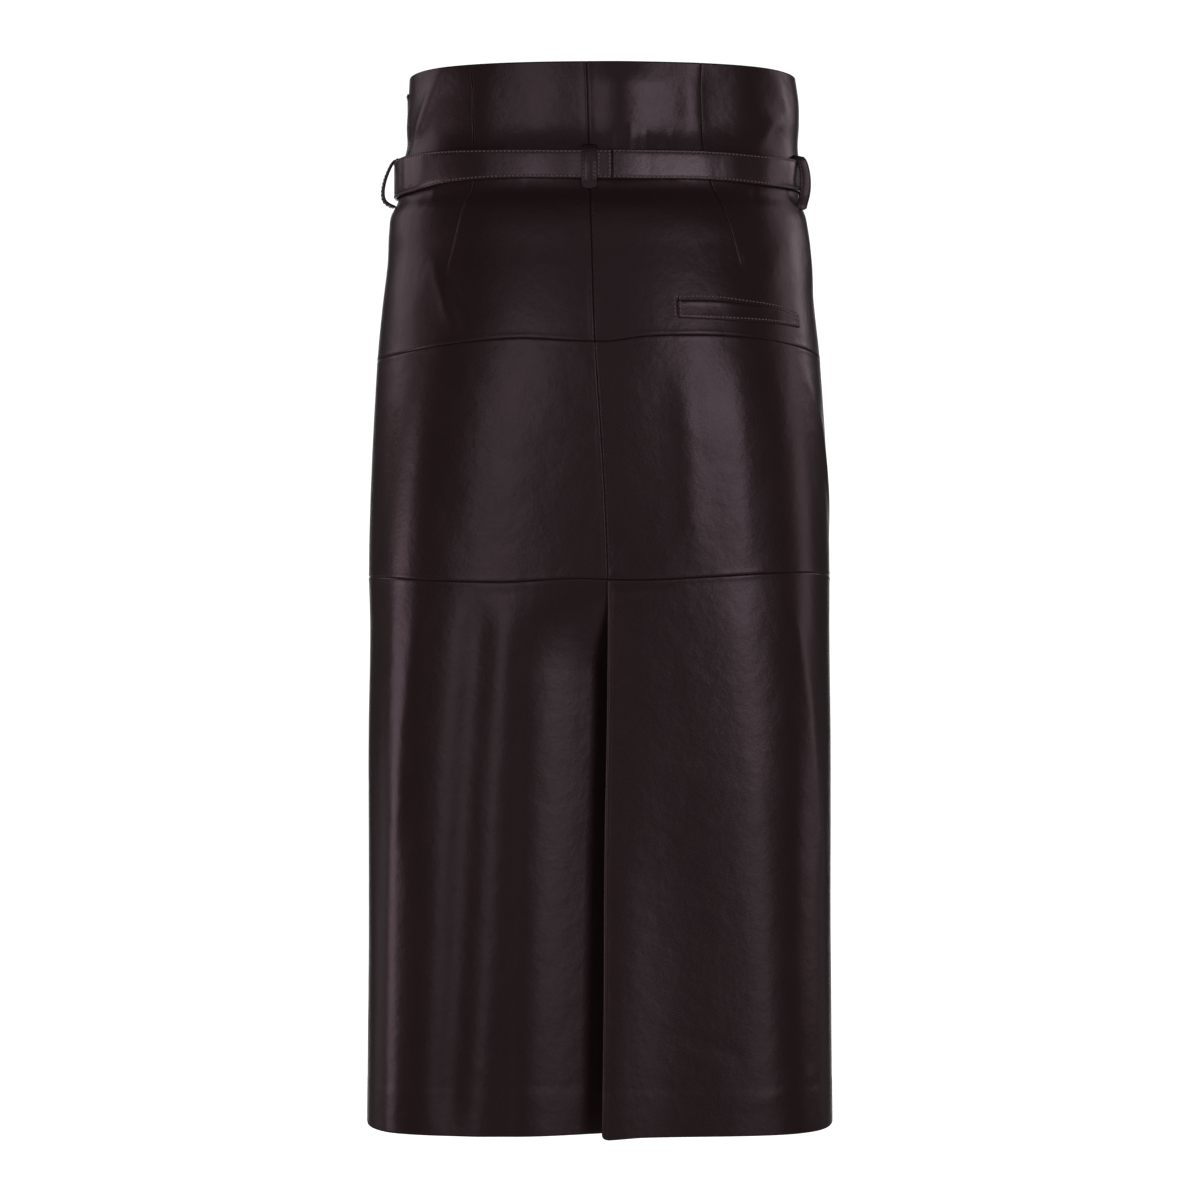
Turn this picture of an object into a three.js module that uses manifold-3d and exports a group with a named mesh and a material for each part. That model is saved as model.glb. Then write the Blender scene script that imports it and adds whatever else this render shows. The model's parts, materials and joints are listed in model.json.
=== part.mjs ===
// A high-waisted, straight midi skirt of smooth leather with its own belt, filled out as when worn.
// Millimetres, +Z up. The origin is the middle of the waist, at the height of the belt.
// The back of the skirt faces -Y and its front +Y. +X is the wearer's right.
// A place on the skirt is a turn, in degrees from centre back and growing towards +X, and a height.

import * as THREE from 'three';
import { mergeVertices } from 'three/addons/utils/BufferGeometryUtils.js';
import Module from 'manifold-3d';

const wasm = await Module();
wasm.setup();

// Leather
const WALL = 1.4;
const HEM_TURN_UP = 1.2;
const HEM_ALLOWANCE = 34;
const SEAM_GAP = 0.3;
const LAY_GAP = 0.3;

// Heights of the edges and, at centre back, of the cross seams
const TOP = 80;
const UPPER_SEAM = -136;
const LOWER_SEAM = -320;
const HEM = -747;

// Turns of the side seams and of centre front
const SIDE = 90;
const FRONT = 180;

// The filled-out skirt in level sections: how far it reaches to the left and right of the middle,
// to the back and to the front, and how square its ring is.
const SECTIONS = [
  { height: -747, left: 184.5, right: 183.6, back: 121, front: 110, square: 0.085 },
  { height: -600, left: 183.5, right: 182.6, back: 120, front: 109, square: 0.08 },
  { height: -450, left: 183.6, right: 182.0, back: 120, front: 108, square: 0.075 },
  { height: -350, left: 182.8, right: 181.4, back: 122, front: 108, square: 0.065 },
  { height: -320, left: 184.2, right: 182.6, back: 123, front: 108, square: 0.06 },
  { height: -240, left: 182.1, right: 180.4, back: 127, front: 109, square: 0.05 },
  { height: -180, left: 179.5, right: 177.0, back: 130, front: 110, square: 0.04 },
  { height: -136, left: 176.5, right: 173.5, back: 130, front: 110, square: 0.03 },
  { height: -100, left: 173.0, right: 170.5, back: 127, front: 109, square: 0.025 },
  { height: -65, left: 169.5, right: 168.5, back: 122, front: 107, square: 0.02 },
  { height: -42, left: 168.5, right: 166.0, back: 118, front: 106, square: 0.02 },
  { height: -30, left: 167.0, right: 164.0, back: 114, front: 104, square: 0.02 },
  { height: -19, left: 161.6, right: 159.8, back: 108, front: 101.5, square: 0.02 },
  { height: 0, left: 160.0, right: 158.5, back: 106, front: 100, square: 0.02 },
  { height: 12, left: 157.5, right: 157.8, back: 104, front: 98.5, square: 0.02 },
  { height: 26, left: 153.0, right: 156.5, back: 101, front: 96, square: 0.025 },
  { height: 42, left: 152.2, right: 157.5, back: 101, front: 96, square: 0.025 },
  { height: 60, left: 151.2, right: 157.0, back: 103, front: 97, square: 0.022 },
  { height: 81, left: 151.5, right: 154.0, back: 104, front: 98, square: 0.026 },
];
// Evens out the spacing of turns along the flat back and front
const EVENNESS = 0.17;

// Cross seams: their heights round the skirt
const CROSS_SEAMS = [
  { turn: -180, upper: -141, lower: -318 },
  { turn: -90, upper: -146, lower: -317.5 },
  { turn: -60, upper: -143.5, lower: -318.5 },
  { turn: -40, upper: -138, lower: -321 },
  { turn: -22, upper: -135, lower: -322 },
  { turn: -4, upper: -137.5, lower: -319.2 },
  { turn: 3, upper: -137.5, lower: -320.2 },
  { turn: 10, upper: -134.5, lower: -320.4 },
  { turn: 25, upper: -132.4, lower: -318.2 },
  { turn: 45, upper: -133.6, lower: -315 },
  { turn: 62, upper: -138, lower: -314.7 },
  { turn: 90, upper: -146, lower: -317.5 },
  { turn: 180, upper: -141, lower: -318 },
];

// Centre back seam, and below the lower cross seam the folded edge of the vent
const CENTRE_BACK = [
  { height: -747, turn: 0.4 },
  { height: -650, turn: 0.75 },
  { height: -530, turn: 0.95 },
  { height: -400, turn: 1.6 },
  { height: -310, turn: 1.7 },
  { height: -247, turn: 0.95 },
  { height: -185, turn: -0.3 },
  { height: -137, turn: -1.4 },
  { height: -65, turn: -2.4 },
  { height: 0, turn: -3.3 },
  { height: 80, turn: -4.4 },
];

// Darts: sewn lines that take in the waist
const DART_TIP = -80;
const DART_HALF_WIDTH = 1.4;
const DART_DEPTH = 0.8;
const BACK_DART_LEFT = [
  { height: -150, turn: -50 },
  { height: -79, turn: -46.2 },
  { height: -34, turn: -42 },
  { height: -10, turn: -40.1 },
  { height: 15, turn: -41.5 },
  { height: 53, turn: -42.4 },
  { height: 81, turn: -43.5 },
];
const BACK_DART_RIGHT = [
  { height: -150, turn: 47 },
  { height: -78, turn: 42.8 },
  { height: -34, turn: 38 },
  { height: -11, turn: 35 },
  { height: 14, turn: 32.5 },
  { height: 52, turn: 31.4 },
  { height: 81, turn: 31.9 },
];
const FRONT_DART = [
  { height: -150, turn: 42 },
  { height: -80, turn: 38 },
  { height: 0, turn: 33 },
  { height: 81, turn: 32 },
];

// Folds: soft ridges (depth above zero) and troughs (below zero) between two places.
// width is in degrees, depth in millimetres.
const FOLDS = [
  { fromHeight: 86, fromTurn: -54, toHeight: 16, toTurn: -77, width: 7, depth: 2.4 },
  { fromHeight: 86, fromTurn: 61, toHeight: 44, toTurn: 67, width: 5, depth: 1.6 },
  { fromHeight: 48, fromTurn: 63, toHeight: 14, toTurn: 53, width: 5, depth: 1.8 },
  { fromHeight: -60, fromTurn: -55, toHeight: -136, toTurn: -39, width: 4.5, depth: 1.7 },
  { fromHeight: -74, fromTurn: -49, toHeight: -130, toTurn: -32, width: 4.5, depth: -1.7 },
  { fromHeight: -24, fromTurn: 80, toHeight: -98, toTurn: 85.5, width: 6, depth: 1.4 },
  { fromHeight: -40, fromTurn: 66, toHeight: -98, toTurn: 51, width: 6, depth: 1.2 },
  { fromHeight: -150, fromTurn: -55, toHeight: -312, toTurn: -47.5, width: 7, depth: 1.8 },
  { fromHeight: -145, fromTurn: -43.5, toHeight: -305, toTurn: -38, width: 6, depth: -1.8 },
  { fromHeight: -140, fromTurn: -28, toHeight: -314, toTurn: -24.5, width: 7, depth: 1.4 },
  { fromHeight: -142, fromTurn: 17.6, toHeight: -312, toTurn: 15, width: 8, depth: -1.8 },
  { fromHeight: -138, fromTurn: 34, toHeight: -318, toTurn: 29.3, width: 8, depth: 2 },
  { fromHeight: -150, fromTurn: 53, toHeight: -312, toTurn: 47, width: 6.5, depth: -1.8 },
  { fromHeight: -140, fromTurn: 62, toHeight: -285, toTurn: 79, width: 5.5, depth: 1.6 },
  { fromHeight: -322, fromTurn: -57, toHeight: -1000, toTurn: -51.5, width: 5, depth: 2.2 },
  { fromHeight: -322, fromTurn: -49.5, toHeight: -1000, toTurn: -45, width: 4.5, depth: -2 },
  { fromHeight: -326, fromTurn: -38, toHeight: -1000, toTurn: -34, width: 6, depth: 1.6 },
  { fromHeight: -330, fromTurn: -29, toHeight: -640, toTurn: -27, width: 5, depth: -2 },
  { fromHeight: -322, fromTurn: -23.8, toHeight: -580, toTurn: -22, width: 5, depth: 2 },
  { fromHeight: -390, fromTurn: -12, toHeight: -860, toTurn: -11, width: 5, depth: 1.6 },
  { fromHeight: -326, fromTurn: 8.3, toHeight: -1000, toTurn: 7.3, width: 7, depth: 1.6 },
  { fromHeight: -326, fromTurn: 18.6, toHeight: -1000, toTurn: 16.5, width: 6, depth: -2 },
  { fromHeight: -322, fromTurn: 33.4, toHeight: -760, toTurn: 40.5, width: 7, depth: 2.4 },
  { fromHeight: -326, fromTurn: 45.7, toHeight: -640, toTurn: 49, width: 4.5, depth: -2 },
  { fromHeight: -322, fromTurn: 53.7, toHeight: -660, toTurn: 70, width: 5.5, depth: 2 },
  { fromHeight: -560, fromTurn: 56, toHeight: -1000, toTurn: 53, width: 8, depth: -1.6 },
  { fromHeight: 86, fromTurn: 120, toHeight: 18, toTurn: 108, width: 7, depth: 2 },
  { fromHeight: 86, fromTurn: -127, toHeight: 16, toTurn: -115, width: 7, depth: 2.2 },
  { fromHeight: -40, fromTurn: 118, toHeight: -104, toTurn: 128, width: 5, depth: 1.4 },
  { fromHeight: -84, fromTurn: 152, toHeight: -136, toTurn: 141, width: 4.5, depth: 1.6 },
  { fromHeight: -76, fromTurn: -146, toHeight: -130, toTurn: -136, width: 4.5, depth: -1.5 },
  { fromHeight: -38, fromTurn: -114, toHeight: -100, toTurn: -121, width: 5, depth: 1.4 },
  { fromHeight: -150, fromTurn: 123, toHeight: -312, toTurn: 130, width: 7, depth: 1.6 },
  { fromHeight: -145, fromTurn: 149, toHeight: -308, toTurn: 153, width: 7, depth: -1.6 },
  { fromHeight: -150, fromTurn: 176, toHeight: -312, toTurn: 183, width: 9, depth: 1.4 },
  { fromHeight: -145, fromTurn: -153, toHeight: -308, toTurn: -149, width: 7, depth: -1.6 },
  { fromHeight: -150, fromTurn: -124, toHeight: -312, toTurn: -130, width: 7, depth: 1.7 },
  { fromHeight: -322, fromTurn: 119, toHeight: -1000, toTurn: 113, width: 6, depth: 2.2 },
  { fromHeight: -326, fromTurn: 136, toHeight: -1000, toTurn: 134, width: 6, depth: -2 },
  { fromHeight: -322, fromTurn: 151, toHeight: -740, toTurn: 157, width: 7, depth: 2.2 },
  { fromHeight: -336, fromTurn: 170, toHeight: -1000, toTurn: 175, width: 7, depth: -1.8 },
  { fromHeight: -322, fromTurn: -165, toHeight: -1000, toTurn: -169, width: 7, depth: 2 },
  { fromHeight: -326, fromTurn: -149, toHeight: -660, toTurn: -146, width: 5, depth: -1.8 },
  { fromHeight: -322, fromTurn: -132, toHeight: -1000, toTurn: -127, width: 6, depth: 2.2 },
  { fromHeight: -326, fromTurn: -112, toHeight: -1000, toTurn: -109, width: 5, depth: -1.8 },
];
// The length over which a fold rises at each end, and the share of a short fold's length
const FOLD_EASE = 45;
const FOLD_EASE_SHARE = 0.4;

// Vent: the left lower back sinks under the right one, whose corner kicks out and hangs lower
const VENT_UNDERLAP = 17;
const VENT_APPROACH = 9;
const VENT_SINK_AT_SEAM = 2.1;
const VENT_SINK = 5.4;
const VENT_SINK_HEIGHT = 70;
const VENT_KICK = 5;
const VENT_KICK_WIDTH = 13;
const VENT_KICK_HEIGHT = 170;
const VENT_DROP = 2.4;
const VENT_DROP_WIDTH = 9;

// Belt: it stands upright on the leather just above the fullness of the hip
const BELT_SEAT = -19;
const BELT_THICK = 2;
const BELT_LIFT = 0.8;
const BELT_JOIN = 4;
const BELT_EDGES = [
  { turn: -180, top: 11.5, bottom: -11.5 },
  { turn: -120, top: 12, bottom: -13 },
  { turn: -90, top: 13.2, bottom: -16 },
  { turn: -66, top: 14.2, bottom: -15.2 },
  { turn: -50, top: 14.2, bottom: -11.4 },
  { turn: -32, top: 12.9, bottom: -9.8 },
  { turn: -12, top: 11.7, bottom: -10.5 },
  { turn: 6, top: 11.4, bottom: -11.4 },
  { turn: 31, top: 11.8, bottom: -10.7 },
  { turn: 58, top: 11.1, bottom: -12.4 },
  { turn: 80, top: 12.4, bottom: -12.2 },
  { turn: 120, top: 11.8, bottom: -11.8 },
  { turn: 180, top: 11.5, bottom: -11.5 },
  { turn: 240, top: 11.5, bottom: -11.5 },
];
const BELT_STEP = 5;

// Belt's fastening at centre front. across runs from centre front to +X, lift is measured to the
// middle of the strap.
const BUCKLE_BAR_RADIUS = 1.2;
const BUCKLE_HALF_WIDTH = 13.6;
const BUCKLE_HALF_HEIGHT = 15.2;
const BUCKLE_CORNER = 4;
const HAIRPIN_RADIUS = 3.2;
const HAIRPIN_LIFT = 4.8;
const LEFT_STRAP_END = [
  { across: -62, lift: 1.8 },
  { across: -55, lift: 2.2 },
  { across: -50, lift: 3.1 },
  { across: -45, lift: 3.4 },
  { across: -40, lift: 3.8 },
  { across: -32, lift: 4.2 },
  { across: -23, lift: 5.1 },
  { across: -18, lift: 7.3 },
];
const STRAP_RETURN = [
  { across: -20, lift: 1.6 },
  { across: -28, lift: 1.6 },
  { across: -36, lift: 1.6 },
];
const RIGHT_STRAP_END = [
  { across: 30, lift: 1.6 },
  { across: 20, lift: 1.6 },
  { across: 14, lift: 1.6 },
  { across: 9, lift: 1.8 },
  { across: 5, lift: 3.4 },
  { across: 1.5, lift: 6.4 },
  { across: -2.5, lift: 9 },
  { across: -7, lift: 10.2 },
  { across: -13, lift: 10.5 },
  { across: -18, lift: 10.1 },
  { across: -24, lift: 8.2 },
  { across: -32, lift: 6.7 },
  { across: -40, lift: 6.3 },
  { across: -45, lift: 5.9 },
  { across: -50, lift: 5.6 },
  { across: -56, lift: 4.7 },
  { across: -64, lift: 4.1 },
  { across: -78, lift: 4.1 },
  { across: -92, lift: 4.1 },
  { across: -100, lift: 4.1 },
  { across: -105, lift: 4.1 },
  { across: -108, lift: 4.1 },
];
const TAIL_TAPER = 10;
const PRONG_THICK = 1.7;
const PRONG_WIDTH = 3;
const PRONG_EYE = 3.5;
const PRONG_EYE_HOLE = 2.1;
const PRONG_TIP = 16.5;
const PRONG_TIP_LIFT = 7.1;
const PRONG_SLOT_HEIGHT = 4.6;
const PRONG_HOLE_LENGTH = 7.4;
const PRONG_HOLE_HEIGHT = 4;
const KEEPER_ACROSS = -45;
const KEEPER_WIDTH = 8;
const KEEPER_THICK = 1.2;
const KEEPER_INNER = 1.8;
const KEEPER_OUTER = 7.3;
const KEEPER_HALF_HEIGHT = 12.1;

// Belt loops: the inner face of each strip, by height and distance out from the leather
const LOOP_THICK = 2;
const LOOP_WIDTH = 11;
const LOOP_BACK_TURN = -3.2;
const LOOP_LEFT_TURN = -90;
const LOOP_RIGHT_TURN = 79;
const LOOP_BACK = [
  { height: 15.4, out: 0 },
  { height: 14.2, out: 2.6 },
  { height: 12.8, out: 6.3 },
  { height: 8, out: 6.6 },
  { height: 0, out: 5.6 },
  { height: -10, out: 4.6 },
  { height: -14.5, out: 3.1 },
  { height: -17.5, out: 1 },
  { height: -20.5, out: 0 },
  { height: -23, out: 0 },
];
const LOOP_LEFT = [
  { height: 15.6, out: 0 },
  { height: 14.9, out: 3 },
  { height: 13.9, out: 7 },
  { height: 9, out: 8.4 },
  { height: 2, out: 9.2 },
  { height: -6, out: 10 },
  { height: -13, out: 10 },
  { height: -18.5, out: 8.2 },
  { height: -22, out: 4 },
  { height: -25, out: 0.4 },
  { height: -28.5, out: 0 },
];
const LOOP_RIGHT = [
  { height: 14.6, out: 0 },
  { height: 13.9, out: 2.6 },
  { height: 12.9, out: 5.6 },
  { height: 8, out: 7.4 },
  { height: 0, out: 8.6 },
  { height: -8, out: 8.6 },
  { height: -16, out: 6.8 },
  { height: -22, out: 2.8 },
  { height: -27, out: 0.2 },
  { height: -31, out: 0 },
];

// Slit pocket on the right half of the back yoke: edges of its welt
const WELT_THICK = 1;
const WELT_EDGES = [
  { turn: 21.6, top: -105.6, bottom: -119.6 },
  { turn: 32, top: -105.2, bottom: -120.3 },
  { turn: 44, top: -107.6, bottom: -121 },
  { turn: 54, top: -109.8, bottom: -121.6 },
  { turn: 64.6, top: -113, bottom: -122 },
];

// Concealed zip in the left side seam. The seam parts round its slider at the top.
const ZIP_TOP = 74;
const ZIP_BOTTOM = -134;
const ZIP_TAPE_WIDTH = 9;
const ZIP_TAPE_THICK = 1;
const ZIP_CHANNEL = 3.2;
const ZIP_TAPE_GAP = 0.7;
const PARTED_HALF_GAP = 1.3;
const PARTED_FROM = 52;
const PARTED_FULL = 62;
const SLIDER_HEIGHT = 66;
const SLIDER_LENGTH = 9;
const SLIDER_WIDTH = 5.8;
const SLIDER_INNER = 146.3;
const SLIDER_OUTER = 149.3;
const NECK_LENGTH = 5;
const NECK_WIDTH = 1.6;
const PIN_REACH = 153.3;
const PIN_RADIUS = 0.6;
const PIN_HALF_LENGTH = 3.4;
const PIN_HEAD_RADIUS = 1;
const PIN_HEAD_LENGTH = 0.5;
const PULL_LENGTH = 20;
const PULL_WIDTH = 5;
const PULL_THICK = 1.2;
const PULL_EYE_RADIUS = 1.5;
const PULL_EYE_HOLE = 0.95;
const PULL_FORK = 1.15;
const PULL_FORK_DEPTH = 5;

// Rows and columns of the leather
const YOKE_ROWS = [UPPER_SEAM, -118, -100, -80, -60, -42, -30, -25, -19, 0, 12, 20, 29, 40, 52, 62, 72, TOP];
// How firmly the yoke's inner rows keep their own heights while its edges follow the seams
const YOKE_HOLD = 3;
const MIDDLE_ROWS = [LOWER_SEAM, -285, -250, -215, -180, UPPER_SEAM];
const HEM_FOLD_ROW = HEM + HEM_ALLOWANCE;
const HEM_FOLD_STEP = 3;
const LOWER_ROWS = [
  HEM, HEM_FOLD_ROW - HEM_FOLD_STEP, HEM_FOLD_ROW, -670, -630, -590, -550, -510, -470, -430, -395, -365,
  -340, LOWER_SEAM,
];
const FRONT_LOWER_ROWS = [
  HEM, HEM_FOLD_ROW - HEM_FOLD_STEP, HEM_FOLD_ROW, -655, -590, -520, -450, -400, -360, LOWER_SEAM,
];

// Colours
const leather = { color: 0x2e2425, roughness: 0.42, metalness: 0 };
const strapLeather = { color: 0x332829, roughness: 0.38, metalness: 0 };
const zipCloth = { color: 0x1c1617, roughness: 0.85, metalness: 0 };
const darkMetal = { color: 0x3b3536, roughness: 0.35, metalness: 0.9 };

const { smoothstep, degToRad, lerp, clamp } = THREE.MathUtils;

// A smooth curve through one column of a table
function curveThrough(rows, along, column) {
  const place = rows.map((row) => row[along]);
  const value = rows.map((row) => row[column]);
  const last = rows.length - 1;
  const rise = (i) => (value[i + 1] - value[i]) / (place[i + 1] - place[i]);
  const slope = rows.map((row, i) => {
    if (i === 0) return rise(0);
    if (i === last) return rise(last - 1);
    const before = place[i] - place[i - 1];
    const after = place[i + 1] - place[i];
    return (rise(i - 1) * after + rise(i) * before) / (before + after);
  });
  return (at) => {
    const here = clamp(at, place[0], place[last]);
    let i = 0;
    while (i < last - 1 && here > place[i + 1]) i += 1;
    const step = place[i + 1] - place[i];
    const s = (here - place[i]) / step;
    return (2 * s ** 3 - 3 * s ** 2 + 1) * value[i] + (s ** 3 - 2 * s ** 2 + s) * step * slope[i]
      + (3 * s ** 2 - 2 * s ** 3) * value[i + 1] + (s ** 3 - s ** 2) * step * slope[i + 1];
  };
}

const reach = {
  left: curveThrough(SECTIONS, 'height', 'left'),
  right: curveThrough(SECTIONS, 'height', 'right'),
  back: curveThrough(SECTIONS, 'height', 'back'),
  front: curveThrough(SECTIONS, 'height', 'front'),
  square: curveThrough(SECTIONS, 'height', 'square'),
};
const upperSeam = curveThrough(CROSS_SEAMS, 'turn', 'upper');
const lowerSeam = curveThrough(CROSS_SEAMS, 'turn', 'lower');
const centreBack = curveThrough(CENTRE_BACK, 'height', 'turn');
const beltTop = curveThrough(BELT_EDGES, 'turn', 'top');
const beltBottom = curveThrough(BELT_EDGES, 'turn', 'bottom');
const dartLeft = curveThrough(BACK_DART_LEFT, 'height', 'turn');
const dartRight = curveThrough(BACK_DART_RIGHT, 'height', 'turn');
const dartFront = curveThrough(FRONT_DART, 'height', 'turn');
const dartLines = [
  dartLeft,
  dartRight,
  (height) => FRONT - dartFront(height),
  (height) => FRONT + dartFront(height),
];

// The bare form, without folds
function formPoint(turn, height) {
  const around = degToRad(turn);
  const t = around - (EVENNESS / 2) * Math.sin(2 * around);
  const square = reach.square(height);
  const across = (Math.sin(t) + square * Math.sin(3 * t)) / (1 - square);
  const deep = (Math.cos(t) - square * Math.cos(3 * t)) / (1 - square);
  return new THREE.Vector3(
    across * (across > 0 ? reach.right(height) : reach.left(height)),
    -deep * (deep > 0 ? reach.back(height) : reach.front(height)),
    height,
  );
}

function formNormal(turn, height) {
  const around = formPoint(turn + 0.5, height).sub(formPoint(turn - 0.5, height));
  const up = formPoint(turn, height + 1).sub(formPoint(turn, height - 1));
  return around.cross(up).normalize();
}

function millimetresPerDegree(turn, height) {
  return formPoint(turn + 0.5, height).distanceTo(formPoint(turn - 0.5, height));
}

// The signed turn from one place to another, the short way round
function turnBetween(from, to) {
  return ((to - from + 540) % 360) - 180;
}

function foldDepth(turn, height) {
  return FOLDS.reduce((sum, fold) => {
    const along = (fold.fromHeight - height) / (fold.fromHeight - fold.toHeight);
    if (along <= 0 || along >= 1) return sum;
    const away = turnBetween(lerp(fold.fromTurn, fold.toTurn, along), turn) / fold.width;
    const rise = Math.min(FOLD_EASE_SHARE, FOLD_EASE / (fold.fromHeight - fold.toHeight));
    const ease = smoothstep(along, 0, rise) * smoothstep(1 - along, 0, rise);
    return sum + fold.depth * ease * Math.exp(-away * away);
  }, 0);
}

function dartDepth(turn, height) {
  return dartLines.reduce((sum, line) => {
    const away = Math.abs(turnBetween(line(height), turn)) * millimetresPerDegree(turn, height);
    const reachHere = smoothstep(height, DART_TIP, DART_TIP + 30);
    return sum - DART_DEPTH * reachHere * Math.max(0, 1 - away / DART_HALF_WIDTH);
  }, 0);
}

// The outer face of the leather, moved out by lift
function leatherPoint(turn, height, lift = 0) {
  const out = foldDepth(turn, height) + dartDepth(turn, height) + lift;
  return formPoint(turn, height).addScaledVector(formNormal(turn, height), out);
}

function ventSink(turn, height) {
  const below = smoothstep(LOWER_SEAM - height, 0, VENT_SINK_HEIGHT);
  const depth = lerp(VENT_SINK_AT_SEAM, VENT_SINK, below);
  const edge = centreBack(height);
  return -depth * smoothstep(turn, edge - VENT_APPROACH, edge + 0.5);
}

function ventKick(turn, height) {
  const away = Math.max(0, turn - centreBack(height)) / VENT_KICK_WIDTH;
  const low = 1 - smoothstep(height - HEM, 0, VENT_KICK_HEIGHT);
  return VENT_KICK * low * Math.exp(-away * away);
}

function hemTurnUp(height) {
  return HEM_TURN_UP * smoothstep(HEM_FOLD_ROW - height, 0, HEM_FOLD_STEP);
}

function closedGeometry(positions, triangles) {
  const geometry = new THREE.BufferGeometry();
  geometry.setAttribute('position', new THREE.Float32BufferAttribute(positions, 3));
  geometry.setIndex(triangles);
  const merged = mergeVertices(geometry, 1e-3);
  const index = merged.getIndex().array;
  const kept = [];
  for (let i = 0; i < index.length; i += 3) {
    const [a, b, c] = [index[i], index[i + 1], index[i + 2]];
    if (a !== b && b !== c && c !== a) kept.push(a, b, c);
  }
  merged.setIndex(kept);
  return merged;
}

// A closed wall between two grids of points, given as columns of rows
function wallBetween(outer, inner) {
  const columns = outer.length;
  const rows = outer[0].length;
  const positions = [...outer.flat(), ...inner.flat()].flatMap((point) => point.toArray());
  const triangles = [];
  const front = (i, j) => i * rows + j;
  const back = (i, j) => columns * rows + i * rows + j;
  const quad = (a, b, c, d) => triangles.push(a, b, c, a, c, d);
  for (let i = 0; i + 1 < columns; i += 1) {
    for (let j = 0; j + 1 < rows; j += 1) {
      quad(front(i, j), front(i + 1, j), front(i + 1, j + 1), front(i, j + 1));
      quad(back(i, j), back(i, j + 1), back(i + 1, j + 1), back(i + 1, j));
    }
    quad(front(i, 0), back(i, 0), back(i + 1, 0), front(i + 1, 0));
    quad(front(i, rows - 1), front(i + 1, rows - 1), back(i + 1, rows - 1), back(i, rows - 1));
  }
  for (let j = 0; j + 1 < rows; j += 1) {
    quad(front(0, j), front(0, j + 1), back(0, j + 1), back(0, j));
    const end = columns - 1;
    quad(front(end, j), back(end, j), back(end, j + 1), front(end, j + 1));
  }
  return closedGeometry(positions, triangles);
}

// A panel of leather between guide lines, left to right, and between a lower and an upper edge.
// rows are heights at the nominal edges, cells the number of columns up to the next guide.
function panel({
  guides, rows, lower, upper, hold = 1, lift = 0, thick = WALL, extra = () => 0, under = () => 0,
}) {
  const bottom = rows[0];
  const top = rows[rows.length - 1];
  const columns = guides.flatMap((guide, g) => {
    const next = guides[g + 1];
    if (!next) return [guide.line];
    return Array.from({ length: guide.cells }, (_, k) => {
      return (height) => lerp(guide.line(height), next.line(height), k / guide.cells);
    });
  });
  const outer = [];
  const inner = [];
  columns.forEach((column) => {
    const outerColumn = [];
    const innerColumn = [];
    rows.forEach((row) => {
      const share = (row - bottom) / (top - bottom);
      let height = row;
      let turn = column(height);
      for (let pass = 0; pass < 4; pass += 1) {
        height = row + (lower(turn) - bottom) * (1 - share) ** hold + (upper(turn) - top) * share ** hold;
        turn = column(height);
      }
      const out = lift + extra(turn, height);
      outerColumn.push(leatherPoint(turn, height, out));
      innerColumn.push(leatherPoint(turn, height, out - thick - under(height)));
    });
    outer.push(outerColumn);
    inner.push(innerColumn);
  });
  return wallBetween(outer, inner);
}

// A line moved sideways by a distance in millimetres
function beside(line, distance) {
  return (height) => {
    const turn = line(height);
    const away = typeof distance === 'function' ? distance(height) : distance;
    return turn + away / millimetresPerDegree(turn, height);
  };
}

const sideLeft = () => -SIDE;
const sideRight = () => SIDE;
const sideLeftFromFront = () => -SIDE + 360;
const halfGap = SEAM_GAP / 2;
const zipHalfGap = (height) => lerp(halfGap, PARTED_HALF_GAP, smoothstep(height, PARTED_FROM, PARTED_FULL));
const topEdge = () => TOP;
const aboveUpperSeam = (turn) => upperSeam(wrapped(turn)) + halfGap;
const belowUpperSeam = (turn) => upperSeam(wrapped(turn)) - halfGap;
const aboveLowerSeam = (turn) => lowerSeam(wrapped(turn)) + halfGap;
const belowLowerSeam = (turn) => lowerSeam(wrapped(turn)) - halfGap;
const hemEdge = () => HEM;

function wrapped(turn) {
  return turn > FRONT ? turn - 360 : turn;
}

function ventHem(turn) {
  return HEM - VENT_DROP * (1 - smoothstep(turn, centreBack(HEM), centreBack(HEM) + VENT_DROP_WIDTH));
}

function dartGuides(line, cells) {
  return [
    { line: beside(line, -DART_HALF_WIDTH), cells: 1 },
    { line, cells: 1 },
    { line: beside(line, DART_HALF_WIDTH), cells },
  ];
}

function backYokeLeft() {
  return panel({
    guides: [
      { line: beside(sideLeft, zipHalfGap), cells: 9 },
      ...dartGuides(dartLeft, 7),
      { line: beside(centreBack, -halfGap) },
    ],
    rows: YOKE_ROWS,
    lower: aboveUpperSeam,
    upper: topEdge,
    hold: YOKE_HOLD,
  });
}

function backYokeRight() {
  return panel({
    guides: [
      { line: beside(centreBack, halfGap), cells: 7 },
      ...dartGuides(dartRight, 9),
      { line: beside(sideRight, -halfGap) },
    ],
    rows: YOKE_ROWS,
    lower: aboveUpperSeam,
    upper: topEdge,
    hold: YOKE_HOLD,
  });
}

function frontYoke() {
  return panel({
    guides: [
      { line: beside(sideRight, halfGap), cells: 8 },
      ...dartGuides(dartLines[2], 8),
      ...dartGuides(dartLines[3], 8),
      { line: beside(sideLeftFromFront, (height) => -zipHalfGap(height)) },
    ],
    rows: YOKE_ROWS,
    lower: aboveUpperSeam,
    upper: topEdge,
    hold: YOKE_HOLD,
  });
}

function backMiddle(from, to) {
  return panel({
    guides: [{ line: from, cells: 14 }, { line: to }],
    rows: MIDDLE_ROWS,
    lower: aboveLowerSeam,
    upper: belowUpperSeam,
  });
}

function frontMiddle() {
  return panel({
    guides: [
      { line: beside(sideRight, halfGap), cells: 22 },
      { line: beside(sideLeftFromFront, -halfGap) },
    ],
    rows: MIDDLE_ROWS,
    lower: aboveLowerSeam,
    upper: belowUpperSeam,
  });
}

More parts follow.
